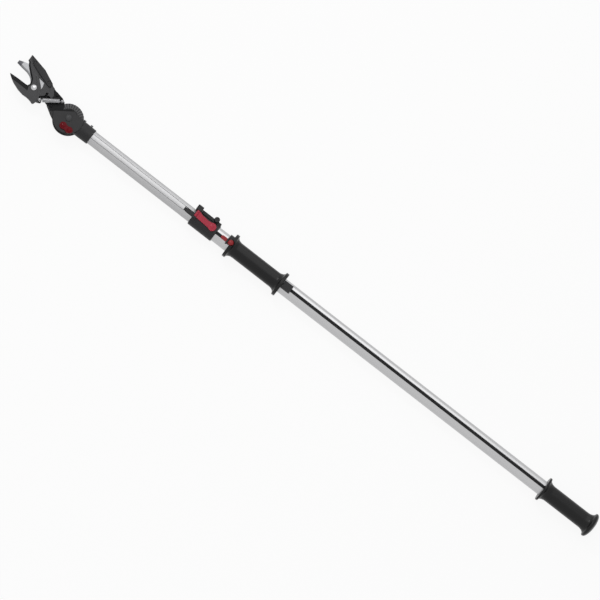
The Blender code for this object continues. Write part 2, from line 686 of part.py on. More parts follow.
def make_clamp():
    """The clamp at the mouth of the outer tube, split on the guard side and closed by the lever."""
    step_x = OUTER_TUBE_START_X - SEAT_GAP
    inner_bore = INNER_TUBE_R + SLIDE_GAP
    outer_bore = OUTER_TUBE_R + SEAT_GAP
    round_edge = 0.0012
    profile = [(CLAMP_R - round_edge, CLAMP_END_X), (CLAMP_R, CLAMP_END_X - round_edge),
               (CLAMP_R, CLAMP_START_X + round_edge), (CLAMP_R - round_edge, CLAMP_START_X)]
    profile = [(0.0, CLAMP_END_X)] + profile + [(0.0, CLAMP_START_X)]
    body = pole_turned("clamp_body", profile, "outer_pole_axis", 32)
    ears = bevel(box("clamp_ears", "outer_pole_axis",
                     (CLAMP_START_X + 0.0110, CLAMP_R - 0.0095, 0.0002 - CLAMP_LUG_HALF),
                     (CLAMP_END_X - 0.0020, CLAMP_BOLT.y, CLAMP_LUG_HALF - 0.0002)), 0.0010)
    lug = post("clamp_bolt_lug", CLAMP_LUG_R, "outer_pole_axis", CLAMP_BOLT,
               -CLAMP_LUG_HALF, CLAMP_LUG_HALF, 20)
    horn = bevel(box("clamp_horn", "outer_pole_axis",
                     (CLAMP_START_X - 0.0040, LEVER_BARREL_Y[1] + SEAT_GAP, 0.0040),
                     (CLAMP_START_X + 0.0107, CLAMP_R + 0.0053, LEVER_AXIS_Z + 0.0035)), 0.0010)
    ear = bevel(box("clamp_lever_ear", "outer_pole_axis",
                    (LEVER_AXIS_X - 0.0040, LEVER_BARREL_Y[0] - SEAT_GAP - 0.0040, CLAMP_R - 0.0025),
                    (LEVER_AXIS_X + 0.0045, LEVER_BARREL_Y[0] - SEAT_GAP, LEVER_AXIS_Z + 0.0035)), 0.0008)
    tongue_start = CLAMP_START_X - CLAMP_TONGUE_LENGTH
    half = INNER_GROOVE_HALF - GROOVE_NEST_GAP
    tongue = level_plate(
        "clamp_tongue",
        [[(tongue_start, -0.0008), (tongue_start + 0.0060, -half), (CLAMP_START_X + 0.0030, -half),
          (CLAMP_START_X + 0.0030, half), (tongue_start + 0.0060, half), (tongue_start, 0.0008)]],
        "outer_pole_axis", OVER_STRAP, OUTER_TUBE_R + 0.0001)
    tube_bore = cylinder("clamp_tube_bore", outer_bore, CLAMP_END_X + 0.01 - step_x, 32)
    put(tube_bore, "outer_pole_axis", ((CLAMP_END_X + 0.01 + step_x) / 2, 0.0, 0.0), (0.0, 90.0, 0.0))
    front_bore = cylinder("clamp_front_bore", inner_bore, 0.04, 32)
    put(front_bore, "outer_pole_axis", (CLAMP_START_X - 0.01, 0.0, 0.0), (0.0, 90.0, 0.0))
    slit = box("clamp_slit", "outer_pole_axis",
               (CLAMP_START_X + 0.0090, OUTER_TUBE_R - 0.0035, -0.0010), (CLAMP_END_X + 0.01, 0.0400, 0.0010))
    bolt_hole = post("clamp_bolt_hole", CLAMP_BOLT_R + BOLT_GAP, "outer_pole_axis", CLAMP_BOLT, -0.03, 0.03, 16)
    pin_hole = cross_post("clamp_pin_hole", LEVER_PIN_R + BOLT_GAP / 2, "outer_pole_axis",
                          LEVER_AXIS_X, LEVER_AXIS_Z, (-0.02, CLAMP_R + 0.0015), 12)
    join(body, ears, lug, horn, ear)
    cut(body, front_bore, tube_bore, slit, bolt_hole, pin_hole)
    finish(join(body, tongue), "black_plastic")
    pin = cross_post("clamp_lever_pin", LEVER_PIN_R, "outer_pole_axis", LEVER_AXIS_X, LEVER_AXIS_Z,
                     (LEVER_BARREL_Y[0] - 0.0040, CLAMP_R + 0.0011), 12)
    finish(pin, "zinc_steel")
    bolt_top = KNOB_SEAT + KNOB_HEIGHT - KNOB_CAP - BOLT_GAP
    bolt = turned("clamp_bolt", [(0.0, bolt_top), (CLAMP_BOLT_R, bolt_top),
                                 (CLAMP_BOLT_R, -KNOB_SEAT), (0.0048, -KNOB_SEAT),
                                 (0.0048, -KNOB_SEAT - 0.0040), (0.0, -KNOB_SEAT - 0.0040)], 16)
    finish(put(bolt, "outer_pole_axis", CLAMP_BOLT), "zinc_steel")
    make_clamp_knob()


def make_clamp_knob():
    """The fluted knob that sets how hard the clamp grips."""
    flutes = 10
    outline = []
    for i in range(flutes):
        centre = 360.0 * i / flutes
        outline += [polar(KNOB_R, centre - 10), polar(KNOB_R, centre + 10), polar(KNOB_R - 0.0006, centre + 18)]
    knob = bevel(plate("clamp_knob", [outline], KNOB_HEIGHT), 0.0006, angle=70.0)
    put(knob, "outer_pole_axis", (CLAMP_BOLT.x, CLAMP_BOLT.y, KNOB_SEAT + KNOB_HEIGHT / 2))
    bore = post("clamp_knob_bore", CLAMP_BOLT_R + BOLT_GAP, "outer_pole_axis", CLAMP_BOLT,
                0.0, KNOB_SEAT + KNOB_HEIGHT - KNOB_CAP, 16)
    finish(cut(knob, bore), "black_plastic")


def make_clamp_lever():
    """The red lever over the clamp: barrel on the pin, tapering strip, round thumb lobe."""
    lobe = (LEVER_AXIS_X + 0.0475, 0.0028)
    low, high = CLAMP_R + 0.0004, CLAMP_R + 0.0047
    strip = [(LEVER_AXIS_X + 0.0010, LEVER_BARREL_Y[0]), (LEVER_AXIS_X + 0.0180, -0.0034),
             (LEVER_AXIS_X + 0.0330, -0.0044)]
    strip += arc(lobe, 0.0098, -125.0, 125.0, 14)
    strip += [(LEVER_AXIS_X + 0.0330, 0.0090), (LEVER_AXIS_X + 0.0130, 0.0108),
              (LEVER_AXIS_X + 0.0050, LEVER_BARREL_Y[1]), (LEVER_AXIS_X + 0.0010, LEVER_BARREL_Y[1])]
    lever = bevel(level_plate("clamp_lever", [strip], "clamp_lever_axis", low, high), 0.0009, 2, 60.0)
    pad = turned("clamp_lever_pad", [(0.0, high + 0.0016), (0.0042, high + 0.0013), (0.0070, high - 0.0002),
                                     (0.0070, low + 0.0010), (0.0, low + 0.0010)], 24)
    put(pad, "clamp_lever_axis", (lobe[0], lobe[1], 0.0))
    barrel = cross_post("clamp_lever_barrel", LEVER_BARREL_R, "clamp_lever_axis",
                        LEVER_AXIS_X, LEVER_AXIS_Z, LEVER_BARREL_Y, 20)
    hole = cross_post("clamp_lever_hole", LEVER_PIN_R + BOLT_GAP / 2, "clamp_lever_axis",
                      LEVER_AXIS_X, LEVER_AXIS_Z, (-0.02, 0.03), 12)
    join(lever, pad, barrel)
    finish(cut(lever, hole), "red_plastic")


def make_socket():
    """The tube socket and the index wheel of the tilt joint in one piece."""
    outline = []
    for i in range(INDEX_NOTCHES):
        centre = 360.0 * i / INDEX_NOTCHES
        outline += [polar(INDEX_R, centre - 3.8, TILT), polar(INDEX_R, centre + 3.8, TILT),
                    polar(INDEX_R - INDEX_NOTCH_DEPTH, centre + 5.6, TILT)]
    wheel = level_plate("socket", [outline], "inner_pole_axis", -INDEX_HALF, INDEX_HALF)
    slot = box("socket_pulley_slot", "inner_pole_axis",
               (TILT.x - 0.06, -0.05, -PULLEY_HALF - SEAT_GAP), (TILT.x + 0.0160, 0.05, PULLEY_HALF + SEAT_GAP))
    bolt_hole = post("socket_bolt_hole", TILT_BOLT_R + BOLT_GAP, "inner_pole_axis", TILT, -0.03, 0.03, 20)
    cut(wheel, slot, bolt_hole)
    sleeve = pole_turned(
        "socket_sleeve",
        [(0.0, SOCKET_END_X), (SOCKET_R - 0.0016, SOCKET_END_X), (SOCKET_R - 0.0006, SOCKET_END_X - 0.0010),
         (SOCKET_R, SOCKET_FRONT_X + 0.0140), (SOCKET_R, SOCKET_FRONT_X), (0.0, SOCKET_FRONT_X)],
        "inner_pole_axis", 32)
    relief_z = INDEX_HALF - 0.0005
    relief_top = post("socket_relief_top", CHEEK_R + 2 * SEAT_GAP, "inner_pole_axis", TILT,
                      relief_z, 0.03, 48)
    relief_bottom = post("socket_relief_bottom", CHEEK_R + 2 * SEAT_GAP, "inner_pole_axis", TILT,
                         -0.03, -relief_z, 48)
    cut(sleeve, relief_top, relief_bottom)
    web = box("socket_web", "inner_pole_axis",
              (TILT.x + 0.0200, 0.0022 - SOCKET_R, -INDEX_HALF + 0.0009),
              (SOCKET_FRONT_X + 0.0050, SOCKET_R - 0.0022, INDEX_HALF - 0.0009))
    ribs = [box("socket_rib_%d" % i, "inner_pole_axis", (x - 0.0022, SOCKET_R - 0.0050, -0.0070),
                (x + 0.0022, SOCKET_RIB_Y, 0.0070))
            for i, x in enumerate(SOCKET_SCREW_XS)]
    bore = cylinder("socket_bore", INNER_TUBE_R + SLIDE_GAP, 0.06, 32)
    put(bore, "inner_pole_axis", (INNER_TUBE_START_X - SEAT_GAP + 0.03, 0.0, 0.0), (0.0, 90.0, 0.0))
    strap_way = box("socket_strap_way", "inner_pole_axis",
                    (TILT.x + 0.0100, -STRAP_WIDTH / 2 - 0.0010, -PULLEY_HALF + 0.0005),
                    (INNER_TUBE_START_X + 0.002, STRAP_WIDTH / 2 + 0.0010, PULLEY_HALF - 0.0005))
    screw_holes = [cross_post("socket_screw_hole_%d" % i, SOCKET_SCREW_R + BOLT_GAP, "inner_pole_axis",
                              x, 0.0, (SOCKET_R - 0.0075, 0.03), 12) for i, x in enumerate(SOCKET_SCREW_XS)]
    join(wheel, sleeve, web, *ribs)
    cut(wheel, bore, strap_way, *screw_holes)
    finish(wheel, "black_plastic")


def make_socket_screws():
    """The two screws on the guard side, which hold the inner tube."""
    for end, x in zip(("front", "rear"), SOCKET_SCREW_XS):
        screw = domed_screw("socket_screw_" + end, SOCKET_SCREW_R, 0.0038, 0.0024, 0.0068, 12)
        put(screw, "inner_pole_axis", (x, SOCKET_RIB_Y + SEAT_GAP, 0.0), (-90.0, 0.0, 0.0))
        finish(screw, "black_metal")


def make_tilt_pulley():
    half = PULLEY_HALF
    profile = [(PULLEY_FLANGE_R, half), (PULLEY_FLANGE_R, half - 0.0006),
               (PULLEY_R - STRAP_THICKNESS / 2, half - 0.0010), (PULLEY_R - STRAP_THICKNESS / 2, -half + 0.0010),
               (PULLEY_FLANGE_R, -half + 0.0006), (PULLEY_FLANGE_R, -half),
               (TILT_BOLT_R + BOLT_GAP, -half), (TILT_BOLT_R + BOLT_GAP, half)]
    pulley = put(turned("tilt_pulley", profile, 24, closed=True), "tilt_pulley_axis", TILT)
    finish(pulley, "black_plastic")


def make_tilt_bolt():
    seat = CHEEK_TOP + SEAT_GAP
    bolt = domed_screw("tilt_bolt", TILT_BOLT_R, 0.0080, 0.0028, 2 * seat + 0.0060, 24)
    finish(put(bolt, "head_tilt_axis", (TILT.x, TILT.y, seat)), "black_metal")
    nut = plate("tilt_nut", [hex_outline(0.0130), circle_outline(TILT_BOLT_R + BOLT_GAP, 20)], 0.0055)
    put(bevel(nut, 0.0005), "head_tilt_axis", (TILT.x, TILT.y, -seat - 0.0055 / 2))
    finish(nut, "zinc_steel")


def neck_screw_places():
    return [(DRUM.x + 0.0223, DRUM.y), (TILT.x + 0.0100 - NECK_REACH, -0.0020)]


def make_neck_rear():
    """The rear half of the neck: frame plate under the blade, drum pocket, rear cheek."""
    bottom = -CHEEK_TOP
    edge_low = around(TILT, [(-NECK_REACH - 0.0001, -0.0040), (-0.0383, -0.0172), (-0.0300, -0.0210)])
    edge_high = around(TILT, [(-0.0300, 0.0240), (-0.0400, 0.0294)])
    drum_side = arc(DRUM, DRUM_POCKET_R + DRUM_SIDE_WALL, 28.0, 118.0, 9)
    frame_outline = arc(JAW, 0.0130, 80.0, 285.0, 14)
    frame_outline += around(JAW, [(0.0200, -0.0070), (0.0360, -0.0085)])
    frame_outline += edge_low + edge_high + drum_side
    neck = level_plate("neck_rear", [frame_outline], "head_tilt_axis",
                       -PLATE_BOTTOM - REAR_PLATE_THICKNESS, -PLATE_BOTTOM)
    body_outline = arc(DRUM, DRUM_POCKET_R + DRUM_SIDE_WALL, 28.0, 262.0, 22) + edge_low + edge_high
    body = level_plate("neck_rear_body", [body_outline], "head_tilt_axis", bottom, -PLATE_BOTTOM - 0.0006)
    block_start = TILT.x - NECK_REACH
    block = level_plate(
        "neck_rear_block",
        [[(block_start, 0.0335)] + [(block_start, -0.0035)] + edge_low[1:] + edge_high],
        "head_tilt_axis", bottom + 0.0040, PLATE_BOTTOM - SEAT_GAP)
    cheek = post("neck_rear_cheek", CHEEK_R, "head_tilt_axis", TILT, bottom + 0.0002, -INNER_CHEEK, 48)
    sweep = post("neck_rear_sweep", SWEEP_R, "head_tilt_axis", TILT, -INNER_CHEEK, 0.02, 48)
    pocket = post("neck_rear_drum_pocket", DRUM_POCKET_R, "head_tilt_axis", DRUM,
                  bottom + DRUM_WALL, 0.01, 36)
    channel = strap_channel()
    holes = [post("neck_rear_hole_jaw", JAW_BOLT_R + BOLT_GAP, "head_tilt_axis", JAW, -0.03, 0.03, 20),
             post("neck_rear_hole_tilt", TILT_BOLT_R + BOLT_GAP, "head_tilt_axis", TILT, -0.03, 0.03, 20),
             post("neck_rear_hole_axle", AXLE_R + BOLT_GAP / 2, "head_tilt_axis", DRUM, -0.03, 0.03, 16)]
    holes += [post("neck_rear_hole_%d" % i, FRAME_SCREW_R + BOLT_GAP, "head_tilt_axis", place, -0.0100, 0.03, 12)
              for i, place in enumerate(neck_screw_places())]
    join(neck, body, block)
    cut(neck, sweep)
    join(neck, cheek)
    cut(neck, pocket, channel, *holes)
    finish(neck, "black_metal")


FRAME_SCREW_R = 0.0020


def strap_channel():
    """The way of the strap through the neck, from the tilt pulley to the far side of the drum."""
    between = DRUM - TILT
    lean = math.asin((PULLEY_R + DRUM_R) / between.length)
    direction = math.atan2(between.y, between.x) - lean
    along = Vector((math.cos(direction), math.sin(direction), 0.0))
    side = Vector((-along.y, along.x, 0.0))
    start = TILT + PULLEY_R * side
    middle = start + along * (between.length * 0.5)
    channel = box("neck_strap_channel", "head_tilt_axis",
                  (-between.length * 0.42, -0.0015, -0.0120), (between.length * 0.42, 0.0015, -0.0004))
    put(channel, "head_tilt_axis", (middle.x, middle.y, -0.0062), (0.0, 0.0, math.degrees(direction)))
    return channel


def make_neck_front():
    """The front half of the neck: low plate under the spring post, front cheek with the lock's window."""
    low_outline = around(TILT, [(-NECK_REACH, -0.0035), (-0.0383, -0.0172), (-0.0290, -0.0212), (-0.0215, 0.0080),
                                (-0.0300, 0.0240), (-0.0400, 0.0294), (-NECK_REACH, 0.0335)])
    low_plate_top = PLATE_TOP + SEAT_GAP + 0.0029
    neck = level_plate("neck_front", [low_outline], "head_tilt_axis", PLATE_TOP + SEAT_GAP, low_plate_top)
    cheek_outline = arc(TILT, CHEEK_R, 205.0, 389.0, 40)
    cheek_outline += around(TILT, [(0.0110, 0.0186)])
    cheek_outline += arc(TILT, 0.0205, 60.0, 150.0, 12)
    cheek_outline += around(TILT, [(-0.0352, -0.0026), (-0.0385, -0.0090)])
    cheek = level_plate("neck_front_cheek", [cheek_outline], "head_tilt_axis", INNER_CHEEK, CHEEK_TOP)
    bevel(cheek, 0.0008, 1, 60.0)
    sweep = post("neck_front_sweep", SWEEP_R, "head_tilt_axis", TILT, 0.0, INNER_CHEEK, 48)
    window = level_plate("neck_front_lock_window", [lock_outline(SEAT_GAP, CHEEK_R + 0.0050)],
                         "head_tilt_axis", 0.0, 0.03)
    holes = [post("neck_front_hole_tilt", TILT_BOLT_R + BOLT_GAP, "head_tilt_axis", TILT, -0.03, 0.03, 20),
             post("neck_front_hole_post", SPRING_POST_R + BOLT_GAP / 2, "head_tilt_axis", SPRING_POST,
                  INNER_CHEEK + 0.0004, 0.03, 12)]
    holes += [post("neck_front_hole_%d" % i, FRAME_SCREW_R + BOLT_GAP, "head_tilt_axis", place, -0.03, 0.03, 12)
              for i, place in enumerate(neck_screw_places())]
    cut(neck, sweep)
    join(neck, cheek)
    cut(neck, window, *holes)
    finish(neck, "black_metal")
    for side, place in zip(("guard", "hook"), neck_screw_places()):
        screw = domed_screw("frame_screw_" + side, FRAME_SCREW_R, 0.0036, 0.0020, low_plate_top + 0.0085, 12)
        finish(put(screw, "head_tilt_axis", (place[0], place[1], low_plate_top + SEAT_GAP)), "black_metal")
    spring_post = turned(
        "spring_post",
        [(0.0, SPRING_HEIGHT + 0.0040), (0.0026, SPRING_HEIGHT + 0.0036), (0.0032, SPRING_HEIGHT + 0.0022),
         (SPRING_POST_R, SPRING_HEIGHT + 0.0018), (SPRING_POST_R, SPRING_HEIGHT - 0.0016),
         (0.0034, SPRING_HEIGHT - 0.0020), (0.0034, low_plate_top + SEAT_GAP),
         (SPRING_POST_R, low_plate_top + SEAT_GAP), (SPRING_POST_R, INNER_CHEEK + 0.0006),
         (0.0, INNER_CHEEK + 0.0006)], 16)
    finish(put(spring_post, "head_tilt_axis", SPRING_POST), "zinc_steel")


def lock_outline(grow, limit):
    """The two-lobed outline of the tilt lock, grown by a gap, kept within a radius of the tilt axis."""
    first, second = around(TILT, LOCK_LOBES)
    radius = LOCK_LOBE_R + grow
    direction = math.degrees(math.atan2(second[1] - first[1], second[0] - first[0]))
    opening = 48.0
    outline = arc(first, radius, direction + opening, direction + 360.0 - opening, 14)
    outline += arc(second, radius, direction - 180.0 + opening, direction + 180.0 - opening, 14)
    kept = []
    for point in outline:
        offset = Vector(point) - TILT.xy
        reach = min(offset.length, limit)
        kept.append(tuple(TILT.xy + offset.normalized() * reach))
    return kept


def make_tilt_lock():
    """The red button that frees the tilt joint, with two raised lobes."""
    low = INDEX_HALF + LOCK_TRAVEL + 2 * SEAT_GAP
    high = CHEEK_TOP + LOCK_TRAVEL
    outline = lock_outline(0.0, CHEEK_R - 0.0006)
    body = bevel(level_plate("tilt_lock_button", [outline], "tilt_lock_axis", low, high), 0.0009, 2, 60.0)
    lobes = []
    for i, (x, y) in enumerate(around(TILT, LOCK_LOBES)):
        crown_r = LOCK_LOBE_R - 0.0020
        crown = [(0.0, 0.0019), (0.5 * crown_r, 0.0015), (0.85 * crown_r, 0.0005), (crown_r, -0.0008), (0.0, -0.0008)]
        lobes.append(put(turned("tilt_lock_lobe_%d" % i, crown, 20), "tilt_lock_axis", (x, y, high)))
    finish(join(body, *lobes), "red_plastic")


LOCK_TRAVEL = 0.0028
LOCK_LOBE_R = 0.0088
LOCK_LOBES = ((0.0010, -0.0225), (0.0190, -0.0235))


def hook_outline():
    """The hook, the guard and the plate of the head, counter-clockwise from the hook's tip."""
    hook = around(JAW, [
        (-0.0650, -0.0066), (-0.0605, -0.0108), (-0.0550, -0.0145), (-0.0444, -0.0205), (-0.0256, -0.0273),
        (-0.0105, -0.0299), (0.0017, -0.0293), (0.0110, -0.0306), (0.0205, -0.0334), (0.0232, -0.0300),
        (0.0247, -0.0245), (0.0300, -0.0228), (0.0308, -0.0217), (0.0265, -0.0186), (0.0222, -0.0080),
        (0.0315, 0.0010), (0.0400, 0.0070)])
    tail = around(TILT, [
        (-NECK_REACH, 0.0120), (0.0035 - NECK_REACH, 0.0060), (0.0045 - NECK_REACH, -0.0060), (-0.0383, -0.0164), (-0.0330, -0.0185),
        (-0.0330, 0.0255), (-0.0400, 0.0290), (-NECK_REACH - 0.0100, 0.0358)])
    guard = around(JAW, [
        (0.0340, 0.0310), (0.0306, 0.0333), (-0.0049, 0.0495), (-0.0369, 0.0559), (GUARD_TIP.x, GUARD_TIP.y)])
    inner = around(JAW, [
        (-0.0505, 0.0444), (-0.0470, 0.0425), (-0.0425, 0.0355), (-0.0291, 0.0233), (-0.0181, 0.0143),
        (-0.0141, 0.0073), (-0.0128, 0.0010), (-0.0155, -0.0040), (-0.0216, -0.0047), (-0.0425, -0.0048)])
    return hook + tail + guard + inner, len(hook + tail + guard)


def make_hook_jaw():
    outline, inner_start = hook_outline()
    widths = [0.0] * len(outline)
    for i in range(inner_start, len(outline)):
        widths[i] = HOOK_GRIND_WIDTH
    widths[inner_start] = 0.0010
    ground = oriented_inset(outline, widths)
    jaw = put(stack("hook_jaw", [(PLATE_BOTTOM, outline), (PLATE_BOTTOM + 0.0019, outline),
                                 (PLATE_TOP, ground)]), "head_tilt_axis")
    rib_path = around(JAW, [(-0.0129, 0.0298), (-0.0055, 0.0215), (0.0029, 0.0132), (0.0127, 0.0038),
                            (0.0190, -0.0080), (0.0250, -0.0190)])
    rib_half = 0.0022
    left = oriented_offset(rib_path, rib_half)
    right = oriented_offset(rib_path, -rib_half)
    rib = level_plate("hook_jaw_rib", [left + right[::-1]], "head_tilt_axis", PLATE_TOP - 0.0010, PLATE_TOP + 0.0016)
    window = level_plate(
        "hook_jaw_window",
        [around(JAW, [(-0.0055, 0.0280), (0.0010, 0.0215), (0.0100, 0.0140), (0.0155, 0.0080), (0.0160, 0.0120),
                      (0.0115, 0.0256)])],
        "head_tilt_axis", -0.01, 0.02)
    reach = SPRING_PIN_R + 0.0008
    path_angle = math.degrees(reach / SPRING_PIN_ARM)
    first = SPRING_PIN_DIRECTION - path_angle
    last = SPRING_PIN_DIRECTION + BLADE_SWING + path_angle
    pin_way = level_plate(
        "hook_jaw_pin_way",
        [arc(JAW, SPRING_PIN_ARM + reach, first, last, 14) + arc(JAW, SPRING_PIN_ARM - reach, last, first, 14)],
        "head_tilt_axis", -0.01, 0.02)
    sweep = post("hook_jaw_sweep", SWEEP_R, "head_tilt_axis", TILT, -0.02, 0.02, 48)
    holes = [post("hook_jaw_hole_pivot", JAW_BOLT_R + BOLT_GAP, "head_tilt_axis", JAW, -0.03, 0.03, 20),
             post("hook_jaw_hole_axle", AXLE_R + BOLT_GAP / 2, "head_tilt_axis", DRUM, -0.03, 0.03, 16)]
    holes += [post("hook_jaw_hole_%d" % i, FRAME_SCREW_R + BOLT_GAP, "head_tilt_axis", place, -0.03, 0.03, 12)
              for i, place in enumerate(neck_screw_places())]
    holes += [post("hook_jaw_hole_bar_%d" % i, BAR_SCREW_R + BOLT_GAP, "head_tilt_axis", place, 0.0035, 0.03, 12)
              for i, place in enumerate(bar_screw_places())]
    join(jaw, rib)
    cut(jaw, window, pin_way, sweep, *holes)
    finish(jaw, "black_metal")


BAR_SCREW_R = 0.0015


def bar_screw_places():
    return around(JAW, [(-0.0345, 0.0495), (0.0200, 0.0315)])


def oriented_offset(path, distance):
    """An open path moved to its left by a distance."""
    moved = []
    for i, (x, y) in enumerate(path):
        before = Vector(path[max(0, i - 1)])
        after = Vector(path[min(len(path) - 1, i + 1)])
        along = (after - before).normalized()
        moved.append((x - along.y * distance, y + along.x * distance))
    return moved


def make_guard_bar():
    """The thick bar that stiffens the back of the guard."""
    outer = around(JAW, [(0.0306, 0.0338), (-0.0040, 0.0495), (-0.0369, 0.0564), (-0.0502, 0.0594)])
    inner = around(JAW, [(-0.0359, 0.0437), (-0.0103, 0.0338), (0.0252, 0.0228), (0.0301, 0.0240)])
    low = PLATE_TOP + SEAT_GAP
    bar = level_plate("guard_bar", [outer + inner], "head_tilt_axis", low, low + 0.0048)
    bevel(bar, 0.0012, 2, 60.0)
    pockets = [post("guard_bar_pocket_%d" % i, 0.0030, "head_tilt_axis", place, low + 0.0024, 0.03, 16)
               for i, place in enumerate(bar_screw_places())]
    holes = [post("guard_bar_hole_%d" % i, BAR_SCREW_R + BOLT_GAP, "head_tilt_axis", place, 0.0, 0.03, 12)
             for i, place in enumerate(bar_screw_places())]
    finish(cut(bar, *pockets, *holes), "black_plastic")
    for end, place in zip(("outer", "inner"), bar_screw_places()):
        screw = domed_screw("guard_bar_screw_" + end, BAR_SCREW_R, 0.0027, 0.0016, 0.0050, 12)
        put(screw, "head_tilt_axis", (place[0], place[1], low + 0.0024 + SEAT_GAP))
        finish(screw, "black_metal")


def make_jaw_bolt():
    seat = PLATE_TOP + SEAT_GAP
    nut_seat = -PLATE_BOTTOM - REAR_PLATE_THICKNESS - SEAT_GAP
    bolt = domed_screw("jaw_bolt", JAW_BOLT_R, JAW_BOLT_HEAD_R, 0.0034, seat - nut_seat + 0.0050, 28)
    finish(put(bolt, "head_tilt_axis", (JAW.x, JAW.y, seat)), "zinc_steel")
    nut = plate("jaw_nut", [hex_outline(0.0130), circle_outline(JAW_BOLT_R + BOLT_GAP, 20)], 0.0045)
    put(bevel(nut, 0.0005), "head_tilt_axis", (JAW.x, JAW.y, nut_seat - 0.0045 / 2))
    finish(nut, "zinc_steel")


def blade_outline():
    """The blade with its toothed tail and spring ear, counter-clockwise from the lower corner of its nose."""
    edge = around(JAW, [(-HEAD_REACH, 0.0240), (-0.0502, 0.0211), (-0.0357, 0.0197), (-0.0260, 0.0164),
                        (-0.0195, 0.0120), (-0.0148, 0.0070)])
    eye = arc(JAW, 0.0118, 180.0, 275.0, 8)
    waist = around(JAW, [(0.0100, -0.0110), (0.0200, -0.0165)])
    ear = arc(SPRING_PIN, 0.0045, 225.0, 385.0, 12)
    teeth = []
    for k in range(FIRST_TOOTH, LAST_TOOTH + 1):
        direction = DRIVE_DIRECTION + 360.0 * k / SECTOR_TEETH_ROUND
        teeth += around(JAW, tooth_points(SECTOR_TEETH_ROUND, direction))
    back = around(JAW, [(0.0165, 0.0275), (0.0070, 0.0305), (-0.0100, 0.0325), (-0.0280, 0.0385),
                        (-0.0460, 0.0390), (-0.0582, 0.0350), (-HEAD_REACH, 0.0317)])
    return edge + eye + waist + ear + teeth + back, len(edge)


def make_blade():
    outline, edge_count = blade_outline()
    widths = [0.0] * len(outline)
    for i in range(edge_count):
        widths[i] = GRIND_WIDTH * (1.0 - (i / edge_count) ** 3)
    ground = oriented_inset(outline, widths)
    ground[0] = (outline[0][0] + 0.0022, outline[0][1] + 0.0044)
    blade = put(stack("blade", [(-BLADE_HALF, ground), (-0.0002, outline), (0.0002, outline),
                                (BLADE_HALF, ground)]), "blade_axis")
    pivot = post("blade_pivot_hole", JAW_BOLT_R + BOLT_GAP, "blade_axis", JAW, -0.01, 0.01, 20)
    pin_hole = post("blade_pin_hole", SPRING_PIN_R + BOLT_GAP / 2, "blade_axis", SPRING_PIN, -0.01, 0.01, 16)
    finish(cut(blade, pivot, pin_hole), "blade_steel")
    foot = -BLADE_HALF + SEAT_GAP
    shoulder = BLADE_HALF + SEAT_GAP
    pin = turned(
        "spring_pin",
        [(0.0, SPRING_HEIGHT + 0.0040), (0.0024, SPRING_HEIGHT + 0.0036), (0.0028, SPRING_HEIGHT + 0.0022),
         (SPRING_PIN_R, SPRING_HEIGHT + 0.0018), (SPRING_PIN_R, SPRING_HEIGHT - 0.0016),
         (0.0027, SPRING_HEIGHT - 0.0020), (0.0027, shoulder), (SPRING_PIN_R, shoulder),
         (SPRING_PIN_R, foot), (0.0, foot)], 16)
    finish(put(pin, "blade_axis", SPRING_PIN), "zinc_steel")


def make_drum():
    """The strap drum with the drive pinion on top of it."""
    top = -PLATE_BOTTOM - 0.0002
    bottom = -CHEEK_TOP + DRUM_WALL + SEAT_GAP
    rim = 0.0012
    hub_r = DRUM_R - STRAP_THICKNESS / 2
    profile = [(DRUM_FLANGE_R, top), (DRUM_FLANGE_R, top - rim), (hub_r, top - rim), (hub_r, bottom + rim),
               (DRUM_FLANGE_R, bottom + rim), (DRUM_FLANGE_R, bottom), (AXLE_R + BOLT_GAP / 2, bottom),
               (AXLE_R + BOLT_GAP / 2, top)]
    drum = put(turned("strap_drum", profile, 28, closed=True), "drum_axis", DRUM)
    phase = DRIVE_DIRECTION + 180.0 + 180.0 / PINION_TEETH
    teeth = []
    for k in range(PINION_TEETH):
        teeth += tooth_points(PINION_TEETH, phase + 360.0 * k / PINION_TEETH)
    pinion = plate("drive_pinion", [teeth, circle_outline(AXLE_R + BOLT_GAP / 2, 16)],
                   2 * BLADE_HALF - 0.0002)
    put(pinion, "drum_axis", DRUM)
    finish(drum, "black_plastic")
    finish(pinion, "zinc_steel")
    winding = turned(
        "strap_winding",
        [(DRUM_R + STRAP_THICKNESS / 2, top - rim - 0.0006), (DRUM_R + STRAP_THICKNESS / 2, bottom + rim + 0.0006),
         (hub_r + SEAT_GAP, bottom + rim + 0.0006), (hub_r + SEAT_GAP, top - rim - 0.0006)], 28, closed=True)
    finish(put(winding, "drum_axis", DRUM), "strap_black")
    axle = post("drum_axle", AXLE_R, "head_tilt_axis", DRUM, -CHEEK_TOP, PLATE_TOP, 16)
    finish(axle, "zinc_steel")


